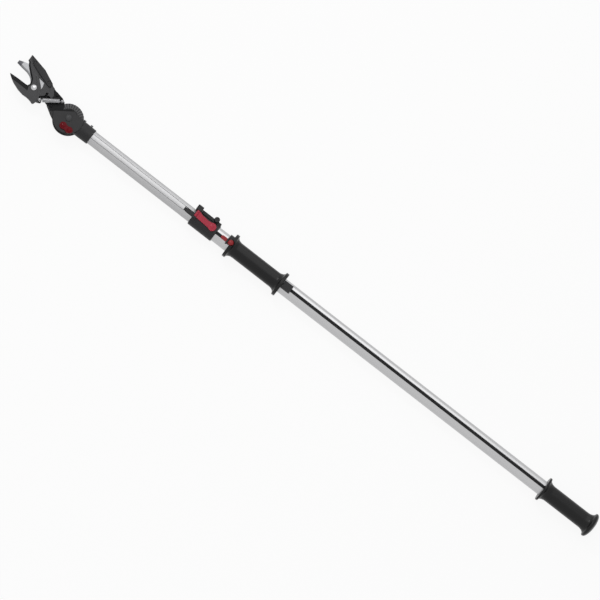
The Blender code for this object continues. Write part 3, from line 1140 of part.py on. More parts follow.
def spring_points():
    """The return spring's centre line: an eye round each pin and a coil between them."""
    start = SPRING_PIN
    along = (SPRING_POST - SPRING_PIN).normalized()
    side = Vector((-along.y, along.x, 0.0))
    up = Vector((0.0, 0.0, 1.0))
    span = (SPRING_POST - SPRING_PIN).length
    lead = SPRING_EYE_R + 0.0030
    coil_length = span - 2 * lead
    points = []

    def add(distance, across, height):
        points.append(start + along * distance + side * across + up * (SPRING_HEIGHT + height))

    eye_steps = 10
    for i in range(eye_steps):
        turn = math.radians(-60.0 - 260.0 * i / (eye_steps - 1))
        add(SPRING_EYE_R * math.cos(turn), SPRING_EYE_R * math.sin(turn), 0.0)
    add(lead - 0.0010, 0.0010, 0.0008)
    steps = SPRING_COILS * SPRING_POINTS_PER_COIL
    for i in range(steps + 1):
        share = i / steps
        turn = 2 * math.pi * i / SPRING_POINTS_PER_COIL
        reach = SPRING_COIL_R * min(1.0, 0.45 + 4.0 * min(share, 1.0 - share) * SPRING_COILS / 4)
        add(lead + coil_length * share, reach * math.sin(turn), reach * math.cos(turn))
    add(span - lead + 0.0010, -0.0010, 0.0008)
    for i in range(eye_steps):
        turn = math.radians(220.0 - 260.0 * i / (eye_steps - 1))
        add(span + SPRING_EYE_R * math.cos(turn), SPRING_EYE_R * math.sin(turn), 0.0)
    return points


def least_self_gap(points, wire_r):
    """The least distance between stretches of the wire that don't follow each other."""
    least = 1.0
    skip = SPRING_POINTS_PER_COIL // 2 + 1
    for i in range(len(points)):
        for j in range(i + skip, len(points)):
            least = min(least, (points[i] - points[j]).length)
    return least - 2 * wire_r


def make_return_spring():
    points = spring_points()
    print("return spring: least gap between curls %.2f mm" % (1000 * least_self_gap(points, SPRING_WIRE_R)))
    curve = bpy.data.curves.new("return_spring", "CURVE")
    curve.dimensions = "3D"
    curve.bevel_depth = SPRING_WIRE_R
    curve.bevel_resolution = 1
    curve.use_fill_caps = True
    spline = curve.splines.new("POLY")
    spline.points.add(len(points) - 1)
    for point, place in zip(spline.points, points):
        point.co = (place.x, place.y, place.z, 1.0)
    obj = bpy.data.objects.new("return_spring", curve)
    PARTS.objects.link(obj)
    spring = mesh_from_curve(obj)
    finish(put(spring, "head_tilt_axis"), "zinc_steel")


make_tubes()
make_groove_cover()
make_strap()
make_plugs()
make_end_grip()
make_pull_grip()
make_grip_collar()
make_guide_block()
make_strap_lock()
make_clamp()
make_clamp_lever()
make_socket()
make_socket_screws()
make_tilt_pulley()
make_tilt_bolt()
make_neck_rear()
make_neck_front()
make_tilt_lock()
make_hook_jaw()
make_guard_bar()
make_jaw_bolt()
make_blade()
make_drum()
make_return_spring()
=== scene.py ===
import json
import math

import bmesh
import bpy
from mathutils import Matrix, Vector

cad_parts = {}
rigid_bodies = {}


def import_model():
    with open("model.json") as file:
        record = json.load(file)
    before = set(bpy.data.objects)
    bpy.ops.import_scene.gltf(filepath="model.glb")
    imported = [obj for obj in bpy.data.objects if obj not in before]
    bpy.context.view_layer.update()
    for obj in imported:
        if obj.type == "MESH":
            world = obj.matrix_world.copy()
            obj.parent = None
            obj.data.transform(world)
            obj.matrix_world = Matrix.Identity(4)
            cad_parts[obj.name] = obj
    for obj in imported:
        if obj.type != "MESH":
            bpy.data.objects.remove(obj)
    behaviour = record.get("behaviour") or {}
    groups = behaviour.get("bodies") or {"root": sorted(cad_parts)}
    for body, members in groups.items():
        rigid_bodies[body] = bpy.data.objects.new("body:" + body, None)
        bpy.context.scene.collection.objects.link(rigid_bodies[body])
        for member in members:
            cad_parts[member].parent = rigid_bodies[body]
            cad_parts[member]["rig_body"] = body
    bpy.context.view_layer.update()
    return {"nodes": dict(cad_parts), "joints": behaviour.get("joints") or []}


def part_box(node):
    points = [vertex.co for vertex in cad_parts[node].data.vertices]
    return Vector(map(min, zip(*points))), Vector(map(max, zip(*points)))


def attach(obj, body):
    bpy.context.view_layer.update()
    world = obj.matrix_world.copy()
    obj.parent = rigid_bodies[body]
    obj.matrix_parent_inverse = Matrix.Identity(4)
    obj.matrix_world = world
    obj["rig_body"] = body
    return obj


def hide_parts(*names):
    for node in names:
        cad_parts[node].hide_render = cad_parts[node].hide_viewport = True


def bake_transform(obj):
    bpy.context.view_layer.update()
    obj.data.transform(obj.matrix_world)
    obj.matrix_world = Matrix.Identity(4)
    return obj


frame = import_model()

cadNodes = frame["nodes"]
scene = bpy.context.scene

# The pole's own coordinates: x from the head's socket to the end grip, y and z from the tubes' axis
tubeLow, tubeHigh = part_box("outer_tube")
outerTube = {"startX": 0.312, "radius": 0.0185, "wall": 0.0012, "grooveHalf": 0.0040, "grooveFloor": 0.0136,
             "steps": 96, "flutes": 0}
jointPlace = {joint["name"]: Vector(joint["pos_m"]) for joint in frame["joints"] if "pos_m" in joint}
poleOrigin = Vector((tubeLow.x - outerTube["startX"], *jointPlace["head_tilt"].yz))
tiltPlace = jointPlace["head_tilt"] - poleOrigin
jawPlace = jointPlace["blade_swing"] - poleOrigin
tiltCentre = tiltPlace + poleOrigin
jawCentre = jawPlace + poleOrigin

# Turns a shape made round x so that it stands along z
upright = Matrix.Rotation(-math.pi / 2, 4, "Y")

# Lengths in metres and angles in degrees, for every piece that is made from its CAD solid
refineSizes = {"weldGap": 0.00001, "flatAngle": 1, "edgeAngle": 30, "crease": 40, "planeGap": 1e-6}


# Small tools

def pieceName(node):
    words = node.split("_")
    return words[0] + "".join(word.capitalize() for word in words[1:])


def linkObject(name, data):
    obj = bpy.data.objects.new(name, data)
    scene.collection.objects.link(obj)
    return obj


def linkWork(name, work):
    mesh = bpy.data.meshes.new(name)
    work.to_mesh(mesh)
    work.free()
    return linkObject(name, mesh)


def editMesh(mesh, change):
    work = bmesh.new()
    work.from_mesh(mesh)
    change(work)
    work.to_mesh(mesh)
    work.free()


def shift(obj, place, turn=Matrix.Identity(4)):
    obj.data.transform(Matrix.Translation(place) @ turn)
    return obj


def applyModifiers(obj):
    bpy.context.view_layer.update()
    graph = bpy.context.evaluated_depsgraph_get()
    mesh = bpy.data.meshes.new_from_object(obj.evaluated_get(graph))
    mesh.transform(obj.matrix_world)
    if obj.type == "MESH":
        obj.modifiers.clear()
        obj.data = mesh
        obj.matrix_world = Matrix.Identity(4)
        return obj
    name = obj.name
    bpy.data.objects.remove(obj)
    return linkObject(name, mesh)


def smoothBy(obj, angle):
    obj.data.shade_smooth()
    obj.data.set_sharp_from_angle(angle=math.radians(angle))
    return obj


def evenShade(obj):
    smoothBy(obj, refineSizes["crease"])
    modifier = obj.modifiers.new("evenShade", "WEIGHTED_NORMAL")
    modifier.keep_sharp = True
    return applyModifiers(obj)


def paint(obj, material):
    obj.data.materials.clear()
    obj.data.materials.append(material)
    return obj


def paintWhere(obj, material, test):
    obj.data.materials.append(material)
    index = len(obj.data.materials) - 1
    for face in obj.data.polygons:
        if test(face):
            face.material_index = index


def mount(obj, body, node):
    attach(obj, body)
    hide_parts(node)
    return obj


def turned(name, profile, steps):
    work = bmesh.new()
    turns = [2 * math.pi * i / steps for i in range(steps)]
    rings = []
    for radius, along in profile:
        places = [(along, radius * math.cos(turn), radius * math.sin(turn)) for turn in turns]
        rings.append([work.verts.new(place) for place in (places if radius else [(along, 0, 0)])])
    for first, second in zip(rings, rings[1:] + rings[:1]):
        for i in range(steps):
            places = ((first, i), (second, i), (second, i + 1), (first, i + 1))
            # A ring on the axis is one point, which stands for two corners of the face
            corners = list(dict.fromkeys(ring[k % len(ring)] for ring, k in places))
            if len(corners) > 2:
                work.faces.new(corners)
    bmesh.ops.recalc_face_normals(work, faces=work.faces)
    return linkWork(name, work)


def boxMesh(name, low, high):
    work = bmesh.new()
    bmesh.ops.create_cube(work, size=1)
    for vert in work.verts:
        vert.co = Vector(((low[k] + high[k]) / 2 + vert.co[k] * (high[k] - low[k]) for k in range(3)))
    return linkWork(name, work)


def carve(obj, cutter):
    modifier = obj.modifiers.new("carve", "BOOLEAN")
    modifier.operation = "DIFFERENCE"
    modifier.solver = "EXACT"
    modifier.object = cutter
    applyModifiers(obj)
    bpy.data.objects.remove(cutter)
    return obj


def splitBy(obj, point, normal):
    editMesh(obj.data, lambda work: bmesh.ops.bisect_plane(
        work, geom=work.verts[:] + work.edges[:] + work.faces[:], dist=refineSizes["planeGap"],
        plane_co=point, plane_no=normal))


def cleanFacets(work):
    bmesh.ops.remove_doubles(work, verts=work.verts, dist=refineSizes["weldGap"])
    bmesh.ops.dissolve_limit(work, angle_limit=math.radians(refineSizes["flatAngle"]),
                             verts=work.verts, edges=work.edges)


def refine(node, material, slot, width=0.0004, segments=2):
    source = cadNodes[node]
    mesh = source.data.copy()
    editMesh(mesh, cleanFacets)
    obj = linkObject(pieceName(node), mesh)
    if width:
        modifier = obj.modifiers.new("edges", "BEVEL")
        modifier.width = width
        modifier.segments = segments
        modifier.limit_method = "ANGLE"
        modifier.angle_limit = math.radians(refineSizes["edgeAngle"])
        applyModifiers(obj)
    evenShade(obj)
    paint(obj, material)
    return mount(obj, source["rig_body"], node)


def refineAll(*rows):
    return {row[0]: refine(*row) for row in rows}


# Node helpers

def addNode(tree, kind, **values):
    node = tree.nodes.new(kind)
    for key, value in values.items():
        setattr(node, key, value)
    return node


def feed(tree, value, socket):
    if hasattr(value, "links"):
        tree.links.new(value, socket)
    else:
        socket.default_value = value


def stretched(tree, scales=(1, 1, 1)):
    place = addNode(tree, "ShaderNodeTexCoord")
    mapping = addNode(tree, "ShaderNodeMapping")
    mapping.inputs["Scale"].default_value = scales
    tree.links.new(place.outputs["Object"], mapping.inputs["Vector"])
    return mapping.outputs["Vector"]


def noise(tree, vector, scale, detail, rough=0.55):
    node = addNode(tree, "ShaderNodeTexNoise")
    for key, value in (("Vector", vector), ("Scale", scale), ("Detail", detail), ("Roughness", rough)):
        feed(tree, value, node.inputs[key])
    return node.outputs["Fac"]


def spread(tree, value, low, high, outLow, outHigh):
    node = addNode(tree, "ShaderNodeMapRange")
    for key, number in (("From Min", low), ("From Max", high), ("To Min", outLow), ("To Max", outHigh)):
        node.inputs[key].default_value = number
    tree.links.new(value, node.inputs["Value"])
    return node.outputs["Result"]


def calculate(tree, operation, first, second):
    node = addNode(tree, "ShaderNodeMath", operation=operation)
    feed(tree, first, node.inputs[0])
    feed(tree, second, node.inputs[1])
    return node.outputs[0]


def mixColour(tree, factor, first, second):
    node = addNode(tree, "ShaderNodeMix", data_type="RGBA")
    tree.links.new(factor, node.inputs[0])
    for socket, colour in ((node.inputs[6], first), (node.inputs[7], second)):
        feed(tree, colour if hasattr(colour, "links") else (*colour, 1), socket)
    return node.outputs[2]


def scaled(colour, share):
    return [channel * share for channel in colour]


def addBump(tree, shader, height, distance):
    node = addNode(tree, "ShaderNodeBump")
    node.inputs["Strength"].default_value = 1.0
    node.inputs["Distance"].default_value = distance
    tree.links.new(height, node.inputs["Height"])
    tree.links.new(node.outputs["Normal"], shader.inputs["Normal"])


# The mask starts where a rounded edge leans by the first share and is full at the second
edgeRange = (0.03, 0.25)


def edgeMask(tree, radius):
    bevel = addNode(tree, "ShaderNodeBevel", samples=4)
    bevel.inputs["Radius"].default_value = radius
    place = addNode(tree, "ShaderNodeNewGeometry")
    dot = addNode(tree, "ShaderNodeVectorMath", operation="DOT_PRODUCT")
    tree.links.new(bevel.outputs["Normal"], dot.inputs[0])
    tree.links.new(place.outputs["True Normal"], dot.inputs[1])
    return spread(tree, calculate(tree, "SUBTRACT", 1.0, dot.outputs["Value"]), *edgeRange, 0.0, 1.0)


# Materials

# In each look a noise is its scale, detail and roughness, and a range is the numbers of a Map Range.
# Most values of a noise lie between these two
noiseRange = (0.3, 0.7)


def newMaterial(name):
    material = bpy.data.materials.new(name)
    material.use_nodes = True
    tree = material.node_tree
    return material, tree, tree.nodes["Principled BSDF"]


def finishShader(tree, shader, base, grain, depth, roughness):
    tree.links.new(base, shader.inputs["Base Color"])
    tree.links.new(spread(tree, grain, *noiseRange, *roughness), shader.inputs["Roughness"])
    addBump(tree, shader, grain, depth)


def makeAluminium(name, shade, roughness):
    look = {"stretch": (0.0015, 1, 1), "lines": (900, 2.0, 0.5), "cloud": (14, 2.0), "depth": 0.000006,
            "dark": (0.96, 0.96, 0.97), "light": (1.04, 1.04, 1.05), "veil": (0.94, 0.94, 0.98),
            "veilRange": (0.35, 0.7, 0, 0.25)}
    material, tree, shader = newMaterial(name)
    lines = noise(tree, stretched(tree, look["stretch"]), *look["lines"])
    cloud = noise(tree, stretched(tree), *look["cloud"])
    base = mixColour(tree, spread(tree, lines, *noiseRange, 0, 1), scaled(look["dark"], shade),
                     scaled(look["light"], shade))
    base = mixColour(tree, spread(tree, cloud, *look["veilRange"]), base, scaled(look["veil"], shade))
    shader.inputs["Metallic"].default_value = 1.0
    finishShader(tree, shader, base, lines, look["depth"], (roughness - 0.05, roughness + 0.05))
    return material


def makePlastic(name, colour, worn, roughness, grain=1400, depth=0.00006, specular=0.22):
    look = {"fineDetail": 2.0, "cloud": (30, 3.0), "cloudRange": (0.35, 0.7, 0, 0.35), "shade": 0.75,
            "edge": 0.0007, "wear": (160, 4.0), "wearRange": (0.42, 0.62, 0.15, 1)}
    material, tree, shader = newMaterial(name)
    vector = stretched(tree)
    fine = noise(tree, vector, grain, look["fineDetail"])
    cloud = noise(tree, vector, *look["cloud"])
    base = mixColour(tree, spread(tree, cloud, *look["cloudRange"]), colour, scaled(colour, look["shade"]))
    patches = spread(tree, noise(tree, vector, *look["wear"]), *look["wearRange"])
    base = mixColour(tree, calculate(tree, "MULTIPLY", edgeMask(tree, look["edge"]), patches), base, worn)
    shader.inputs["Specular IOR Level"].default_value = specular
    finishShader(tree, shader, base, fine, depth, (roughness - 0.06, roughness + 0.07))
    return material


def makeCoatedSteel(name, colour, bare, roughness, amount, specular=0.25):
    look = {"peel": (700, 2.0), "depth": 0.00004, "cloud": (45, 4.0), "cloudRange": (0.35, 0.7, 0, 0.5),
            "shade": 0.7, "edge": 0.0006, "wear": (210, 5.0), "wearRange": (0.48, 0.6, 0), "bareMetal": 0.7}
    material, tree, shader = newMaterial(name)
    vector = stretched(tree)
    peel = noise(tree, vector, *look["peel"])
    cloud = noise(tree, vector, *look["cloud"])
    base = mixColour(tree, spread(tree, cloud, *look["cloudRange"]), colour, scaled(colour, look["shade"]))
    patches = spread(tree, noise(tree, vector, *look["wear"]), *look["wearRange"], amount)
    rubbed = calculate(tree, "MULTIPLY", edgeMask(tree, look["edge"]), patches)
    base = mixColour(tree, rubbed, base, bare)
    tree.links.new(spread(tree, rubbed, 0, 1, 0.0, look["bareMetal"]), shader.inputs["Metallic"])
    shader.inputs["Specular IOR Level"].default_value = specular
    finishShader(tree, shader, base, peel, look["depth"], (roughness - 0.07, roughness + 0.07))
    return material


def makeSteel(name, colour, roughness, lines, depth, scales=(1, 1, 1)):
    look = {"streaks": (4.0, 0.65), "shade": 0.86, "cloud": (60, 3.0), "stain": 0.7,
            "stainRange": (0.4, 0.7, 0, 0.3)}
    material, tree, shader = newMaterial(name)
    streaks = noise(tree, stretched(tree, scales), lines, *look["streaks"])
    cloud = noise(tree, stretched(tree), *look["cloud"])
    base = mixColour(tree, spread(tree, streaks, *noiseRange, 0, 1), scaled(colour, look["shade"]), colour)
    base = mixColour(tree, spread(tree, cloud, *look["stainRange"]), base, scaled(colour, look["stain"]))
    shader.inputs["Metallic"].default_value = 1.0
    finishShader(tree, shader, base, streaks, depth, (roughness - 0.06, roughness + 0.08))
    return material


def makeStrapWeave():
    look = {"along": 260, "across": 330, "dark": (0.013, 0.013, 0.0135), "light": (0.032, 0.032, 0.033),
            "depth": 0.00015, "Roughness": 0.72, "Specular IOR Level": 0.15, "Sheen Weight": 0.04}
    material, tree, shader = newMaterial("wovenStrap")
    vector = stretched(tree)
    waves = []
    for direction, scale in (("X", look["along"]), ("Y", look["across"])):
        wave = addNode(tree, "ShaderNodeTexWave", bands_direction=direction)
        wave.inputs["Scale"].default_value = scale
        tree.links.new(vector, wave.inputs["Vector"])
        waves.append(wave.outputs["Fac"])
    weave = calculate(tree, "MULTIPLY", *waves)
    tree.links.new(mixColour(tree, weave, look["dark"], look["light"]), shader.inputs["Base Color"])
    for key in ("Roughness", "Specular IOR Level", "Sheen Weight"):
        shader.inputs[key].default_value = look[key]
    addBump(tree, shader, weave, look["depth"])
    return material


aluminium = makeAluminium("drawnAluminium", 0.49, 0.29)
dullAluminium = makeAluminium("dullAluminium", 0.46, 0.54)
blackPlastic = makePlastic("mouldedBlack", (0.018, 0.018, 0.019), (0.045, 0.045, 0.048), 0.44)
gripPlastic = makePlastic("gripBlack", (0.0035, 0.0035, 0.0038), (0.016, 0.016, 0.017), 0.29,
                          1000, 0.00005, 0.25)
redPlastic = makePlastic("mouldedRed", (0.36, 0.022, 0.045), (0.42, 0.07, 0.10), 0.30, 900, 0.00002)
lockRed = makePlastic("lockRed", (0.27, 0.017, 0.021), (0.36, 0.05, 0.06), 0.28, 900, 0.00002)
deepRed = makePlastic("deepRed", (0.125, 0.001, 0.005), (0.20, 0.010, 0.018), 0.12, 900, 0.000004, 0.10)
# Painted shade: a darker, duller copy of the button's red, for its steep side faces
buttonSide = makePlastic("buttonSide", (0.075, 0.001, 0.004), (0.12, 0.006, 0.010), 0.50, 900, 0.00002, 0.05)
coatedSteel = makeCoatedSteel("coatedSteel", (0.044, 0.044, 0.046), (0.30, 0.30, 0.31), 0.40, 0.8)
coatedScrew = makeCoatedSteel("coatedScrew", (0.040, 0.040, 0.042), (0.06, 0.06, 0.06), 0.42, 0.0)
# Near-black coated steel: the frame screws' own colour, and painted shade on the hook's tail and ground band,
# it also paints the blade's tail
# on the neck's upper part, and inside the clamp's trench and the wheel's channel and notch grooves;
blackAndPaintedShade = makeCoatedSteel("blackAndPaintedShade", (0.006, 0.006, 0.0065), (0.12, 0.12, 0.13), 0.40, 0.3, 0.11)
coatedCasting = makeCoatedSteel("coatedCasting", (0.019, 0.019, 0.020), (0.14, 0.14, 0.15), 0.48, 0.25)
# Painted shade: a darker, duller black for the steep side faces of the neck and of the wheel's rim
castSide = makeCoatedSteel("castSide", (0.008, 0.008, 0.0085), (0.06, 0.06, 0.06), 0.62, 0.2, 0.06)
indexGrey = makeCoatedSteel("indexGrey", (0.078, 0.078, 0.080), (0.24, 0.24, 0.25), 0.45, 0.6)
bladeSteel = makeSteel("bladeFace", (0.31, 0.313, 0.322), 0.26, 1300, 0.00002, (1, 0.06, 1))
# Painted shade: a darker copy of the blade steel for its sloped ground faces, with real crosswise grind lines
bladeGrindAndShade = makeSteel("bladeGrindAndShade", (0.22, 0.223, 0.23), 0.30, 1600, 0.00003, (0.05, 1, 1))
bladeNose = makeSteel("bladeNose", (0.10, 0.10, 0.11), 0.32, 1600, 0.00003, (0.05, 1, 1))
zincSteel = makeSteel("zincSteel", (0.54, 0.54, 0.55), 0.24, 500, 0.00001)
# Painted shade: a darker copy of the zinc steel, for the spring's pin and post
pinSteel = makeSteel("pinSteel", (0.22, 0.22, 0.225), 0.34, 500, 0.00001)
springSteel = makeSteel("springSteel", (0.42, 0.42, 0.43), 0.26, 700, 0.00001)
strapWeave = makeStrapWeave()
print("materials made")


# Tubes

innerTube = {"startX": -0.028, "endX": 1.25, "radius": 0.0170, "wall": 0.0012, "grooveHalf": 0.0060,
             "grooveFloor": 0.0120, "steps": 280, "flutes": 14, "fluteDepth": 0.00026, "fluteSharpness": 6}
outerTube["endX"] = outerTube["startX"] + tubeHigh.x - tubeLow.x
tubeSizes = {"boreSteps": 96, "seamGap": 0.000002, "crease": 25}


def groovedOutline(sizes, inset, steps, flutes=0):
    radius, half, floorZ = sizes["radius"] - inset, sizes["grooveHalf"] + inset, sizes["grooveFloor"] - inset
    edge = math.asin(half / radius)
    points = []
    for i in range(steps + 1):
        turn = math.pi / 2 + edge + (2 * math.pi - 2 * edge) * i / steps
        reach = radius
        if flutes:
            reach -= sizes["fluteDepth"] * max(0.0, math.cos(flutes * turn)) ** sizes["fluteSharpness"]
        points.append((reach * math.cos(turn), reach * math.sin(turn)))
    return points + [(half, floorZ), (-half, floorZ)]


def cleanSeams(work):
    bmesh.ops.remove_doubles(work, verts=work.verts, dist=tubeSizes["seamGap"])
    bmesh.ops.recalc_face_normals(work, faces=work.faces)


def makeTube(node, body, sizes, material):
    curve = bpy.data.curves.new(pieceName(node), "CURVE")
    curve.dimensions = "2D"
    curve.fill_mode = "BOTH"
    curve.extrude = (sizes["endX"] - sizes["startX"]) / 2
    for outline in (groovedOutline(sizes, 0.0, sizes["steps"], sizes["flutes"]),
                    groovedOutline(sizes, sizes["wall"], tubeSizes["boreSteps"])):
        spline = curve.splines.new("POLY")
        spline.points.add(len(outline) - 1)
        for point, (y, z) in zip(spline.points, outline):
            point.co = (y, z, 0, 1)
        spline.use_cyclic_u = True
    tube = linkObject(pieceName(node), curve)
    # The curve is drawn flat and raised along z: its x, y and z become y, z and x
    alongX = Matrix(((0, 0, 1, 0), (1, 0, 0, 0), (0, 1, 0, 0), (0, 0, 0, 1)))
    tube.matrix_world = Matrix.Translation(((sizes["startX"] + sizes["endX"]) / 2, 0, 0)) @ alongX
    tube = applyModifiers(tube)
    editMesh(tube.data, cleanSeams)
    smoothBy(paint(shift(tube, poleOrigin), material), tubeSizes["crease"])
    mount(tube, body, node)


makeTube("inner_tube", "inner_pole", innerTube, dullAluminium)
makeTube("outer_tube", "outer_pole", outerTube, aluminium)
refineAll(
    ("groove_cover", dullAluminium, "aluminium", 0.0003),
    ("strap", strapWeave, "strap_black", 0.0004, 3),
    ("slide_plug", blackPlastic, "black_plastic", 0.0),
    ("end_plug", blackPlastic, "black_plastic", 0.0),
    ("end_screw", zincSteel, "zinc_steel", 0.0))
print("tubes made")


# Grips

gripSizes = {"bodyRadius": 0.0205, "boreRadius": 0.0188, "flangeRadius": 0.0312, "lipEdge": 0.0014,
             "lipSteps": 5, "flareSteps": 16, "steps": 112, "flat": 0.0285, "cutterHalf": 0.05,
             "cutterBottom": 0.06, "crease": 32}


def lipCurve(faceX, inward, hubRadius, thickness):
    top, edge, steps = gripSizes["flangeRadius"], gripSizes["lipEdge"], gripSizes["lipSteps"]
    turns = [math.pi / 2 * i / steps for i in range(steps + 1)]
    front = [(top - edge + edge * math.sin(turn), faceX + inward * (edge - edge * math.cos(turn)))
             for turn in turns]
    back = [(top - edge + edge * math.cos(turn), faceX + inward * (thickness - edge + edge * math.sin(turn)))
            for turn in turns]
    return [(hubRadius, faceX)] + front + back


def flareCurve(lipX, inward, length):
    low, high = gripSizes["bodyRadius"], gripSizes["flangeRadius"] - gripSizes["lipEdge"]
    steps = gripSizes["flareSteps"]
    points = []
    for i in range(1, steps + 1):
        share = i / steps
        drop = math.sqrt(1 - (1 - share) ** 2)
        points.append((high - (high - low) * drop, lipX + inward * length * share))
    return points


def finishGrip(grip, body, node, cutStart, cutEnd):
    half, bottom = gripSizes["cutterHalf"], gripSizes["cutterBottom"]
    carve(grip, boxMesh("flatCutter", (cutStart, -half, -bottom), (cutEnd, half, -gripSizes["flat"])))
    smoothBy(paint(shift(grip, poleOrigin), gripPlastic), gripSizes["crease"])
    mount(grip, body, node)


def makePullGrip():
    sizes = {"startX": 0.4125, "endX": 0.5675, "hub": 0.0215, "lip": 0.0080, "flare": 0.0150,
             "notchX": 0.4127, "notchRadius": 0.0082, "notchZ": (0.0218, 0.04), "notchSteps": 48,
             "cut": (0.40, 0.60)}
    startX, endX, lip, bore = sizes["startX"], sizes["endX"], sizes["lip"], gripSizes["boreRadius"]
    profile = lipCurve(startX, 1, sizes["hub"], lip)
    profile += flareCurve(startX + lip, 1, sizes["flare"])
    profile += flareCurve(endX - lip, -1, sizes["flare"])[::-1]
    profile += lipCurve(endX, -1, sizes["hub"], lip)[::-1]
    profile += [(bore, endX), (bore, startX)]
    grip = turned("pullGrip", profile, gripSizes["steps"])
    radius, (floorZ, topZ) = sizes["notchRadius"], sizes["notchZ"]
    notch = turned("notchCutter", [(0, floorZ), (radius, floorZ), (radius, topZ), (0, topZ)], sizes["notchSteps"])
    carve(grip, shift(notch, (sizes["notchX"], 0, 0), upright))
    finishGrip(grip, "pull_grip", "pull_grip", *sizes["cut"])


def makeEndGrip():
    sizes = {"startX": 1.3450, "domeX": 1.4963, "dome": 0.0110, "domeSteps": 17, "domeEnd": math.radians(88),
             "holeRadius": 0.0056, "screwHole": 0.0025, "pocket": 0.0034, "tubeEnd": 1.4883, "lip": 0.0055,
             "hubWall": 0.0040, "flare": 0.0170, "mouth": 0.0012, "cut": (1.33, 1.51),
             "rear": ((0, 0.0012), (0.0003, 0.0023), (0.0008, 0.0030), (gripSizes["lipEdge"], 0.0035))}
    startX, endX, lip, bore = sizes["startX"], sizes["domeX"], sizes["lip"], gripSizes["boreRadius"]
    flange, pocketX, lipX = gripSizes["flangeRadius"], endX - sizes["pocket"], endX - sizes["dome"]
    first, steps = math.asin(sizes["holeRadius"] / flange), sizes["domeSteps"]
    profile = [(sizes["screwHole"], pocketX), (sizes["holeRadius"], pocketX)]
    for i in range(steps + 1):
        turn = first + (sizes["domeEnd"] - first) * i / steps
        profile.append((flange * math.sin(turn), lipX + sizes["dome"] * math.cos(turn)))
    profile += [(flange - inward, lipX - back) for inward, back in sizes["rear"]]
    profile += flareCurve(lipX - sizes["rear"][-1][1], -1, sizes["flare"])
    profile += flareCurve(startX + lip, 1, sizes["flare"])[::-1]
    profile += lipCurve(startX, 1, bore + sizes["hubWall"], lip)[::-1]
    profile += [(bore, startX + sizes["mouth"]), (bore, sizes["tubeEnd"]), (sizes["screwHole"], sizes["tubeEnd"])]
    grip = turned("endGrip", profile, gripSizes["steps"])
    finishGrip(grip, "outer_pole", "end_grip", *sizes["cut"])


makePullGrip()
makeEndGrip()
refineAll(
    ("grip_collar", blackPlastic, "black_plastic", 0.0005),
    ("guide_block", blackPlastic, "black_plastic", 0.0003),
    ("strap_lock", lockRed, "red_plastic", 0.0005, 3),
    ("strap_lock_pin", zincSteel, "zinc_steel", 0.0))
print("grips made")


# Clamp

clampTrench = {"x": (0.3165, 0.3480), "y": (0.0102, 0.0170), "z": (0.0090, 0.0300), "floorRadius": 0.0199,
               "margin": 0.01, "steps": 96}


def cutClampTrench(obj):
    (startX, endX), radius, margin = clampTrench["x"], clampTrench["floorRadius"], clampTrench["margin"]
    low, high = zip(clampTrench["x"], clampTrench["y"], clampTrench["z"])
    cutter = boxMesh("trenchCutter", low, high)
    carve(cutter, turned("trenchCore", [(0, startX - margin), (radius, startX - margin),
                                        (radius, endX + margin), (0, endX + margin)], clampTrench["steps"]))
    # The trench's inside takes the cutter's near-black paint as painted shade in the recess
    carve(obj, paint(shift(cutter, poleOrigin), blackAndPaintedShade))
    evenShade(obj)


cutClampTrench(refine("clamp_body", blackPlastic, "black_plastic", 0.0006, 3))
refineAll(
    ("clamp_knob", blackPlastic, "black_plastic", 0.0002),
    ("clamp_bolt", zincSteel, "zinc_steel", 0.0003),
    ("clamp_lever_pin", zincSteel, "zinc_steel", 0.0003),
    ("clamp_lever", redPlastic, "red_plastic", 0.0005, 3))
print("clamp made")


# Head

headPieces = refineAll(
    ("socket", blackPlastic, "black_plastic", 0.0005),
    ("socket_screw_front", zincSteel, "black_metal", 0.0002),
    ("socket_screw_rear", zincSteel, "black_metal", 0.0002),
    ("tilt_pulley", blackPlastic, "black_plastic", 0.0003),
    ("tilt_bolt", coatedScrew, "black_metal", 0.0003),
    ("tilt_nut", zincSteel, "zinc_steel", 0.0),
    ("tilt_lock_button", deepRed, "red_plastic", 0.0004, 3),
    ("neck_rear", coatedCasting, "black_casting", 0.0005),
    ("neck_front", coatedCasting, "black_casting", 0.0005),
    ("frame_screw_guard", blackAndPaintedShade, "black_metal", 0.0002),
    ("frame_screw_hook", blackAndPaintedShade, "black_metal", 0.0002),
    ("spring_post", pinSteel, "zinc_steel", 0.0),
    ("guard_bar", blackPlastic, "black_plastic", 0.0004),
    ("guard_bar_screw_outer", coatedScrew, "black_metal", 0.0),
    ("guard_bar_screw_inner", coatedScrew, "black_metal", 0.0),
    ("jaw_bolt", zincSteel, "zinc_steel", 0.0),
    ("jaw_nut", zincSteel, "zinc_steel", 0.0),
    ("spring_pin", pinSteel, "zinc_steel", 0.0),
    ("strap_drum", blackPlastic, "black_plastic", 0.0),
    ("strap_winding", strapWeave, "strap_black", 0.0),
    ("drive_pinion", zincSteel, "zinc_steel", 0.0),
    ("drum_axle", coatedScrew, "zinc_steel", 0.0),
    ("hook_jaw", coatedSteel, "black_metal", 0.0003),
    ("blade", bladeSteel, "blade_steel", 0.0))

# Lines that part the painted areas of the head's plates: x and y from the jaw's axis for the hook's band and
# the blade, and from the tilt axis for the hook's tail and the neck. The hook's band and tail and the neck's
# upper part get painted shade; the blade's tail and nose are painted darker
hookSizes = {"ribHeight": 0.0016, "bandEdge": -0.0150, "mouthEdge": -0.0048, "bandDepth": 0.0011,
             "bandX": (-0.0720, -0.0075), "bandEnd": ((-0.0120, -0.0030), (-0.0720, 0.0020)),
             "cutterLift": 0.0040, "tailPoint": (-0.0624, 0.0245), "tailSide": (0.789, 0.614)}
bladeSizes = {"tailX": 0.0168, "noseX": -0.0565}
neckSizes = {"darkPoint": (-0.0361, -0.0067), "darkSide": (-0.588, 0.809)}

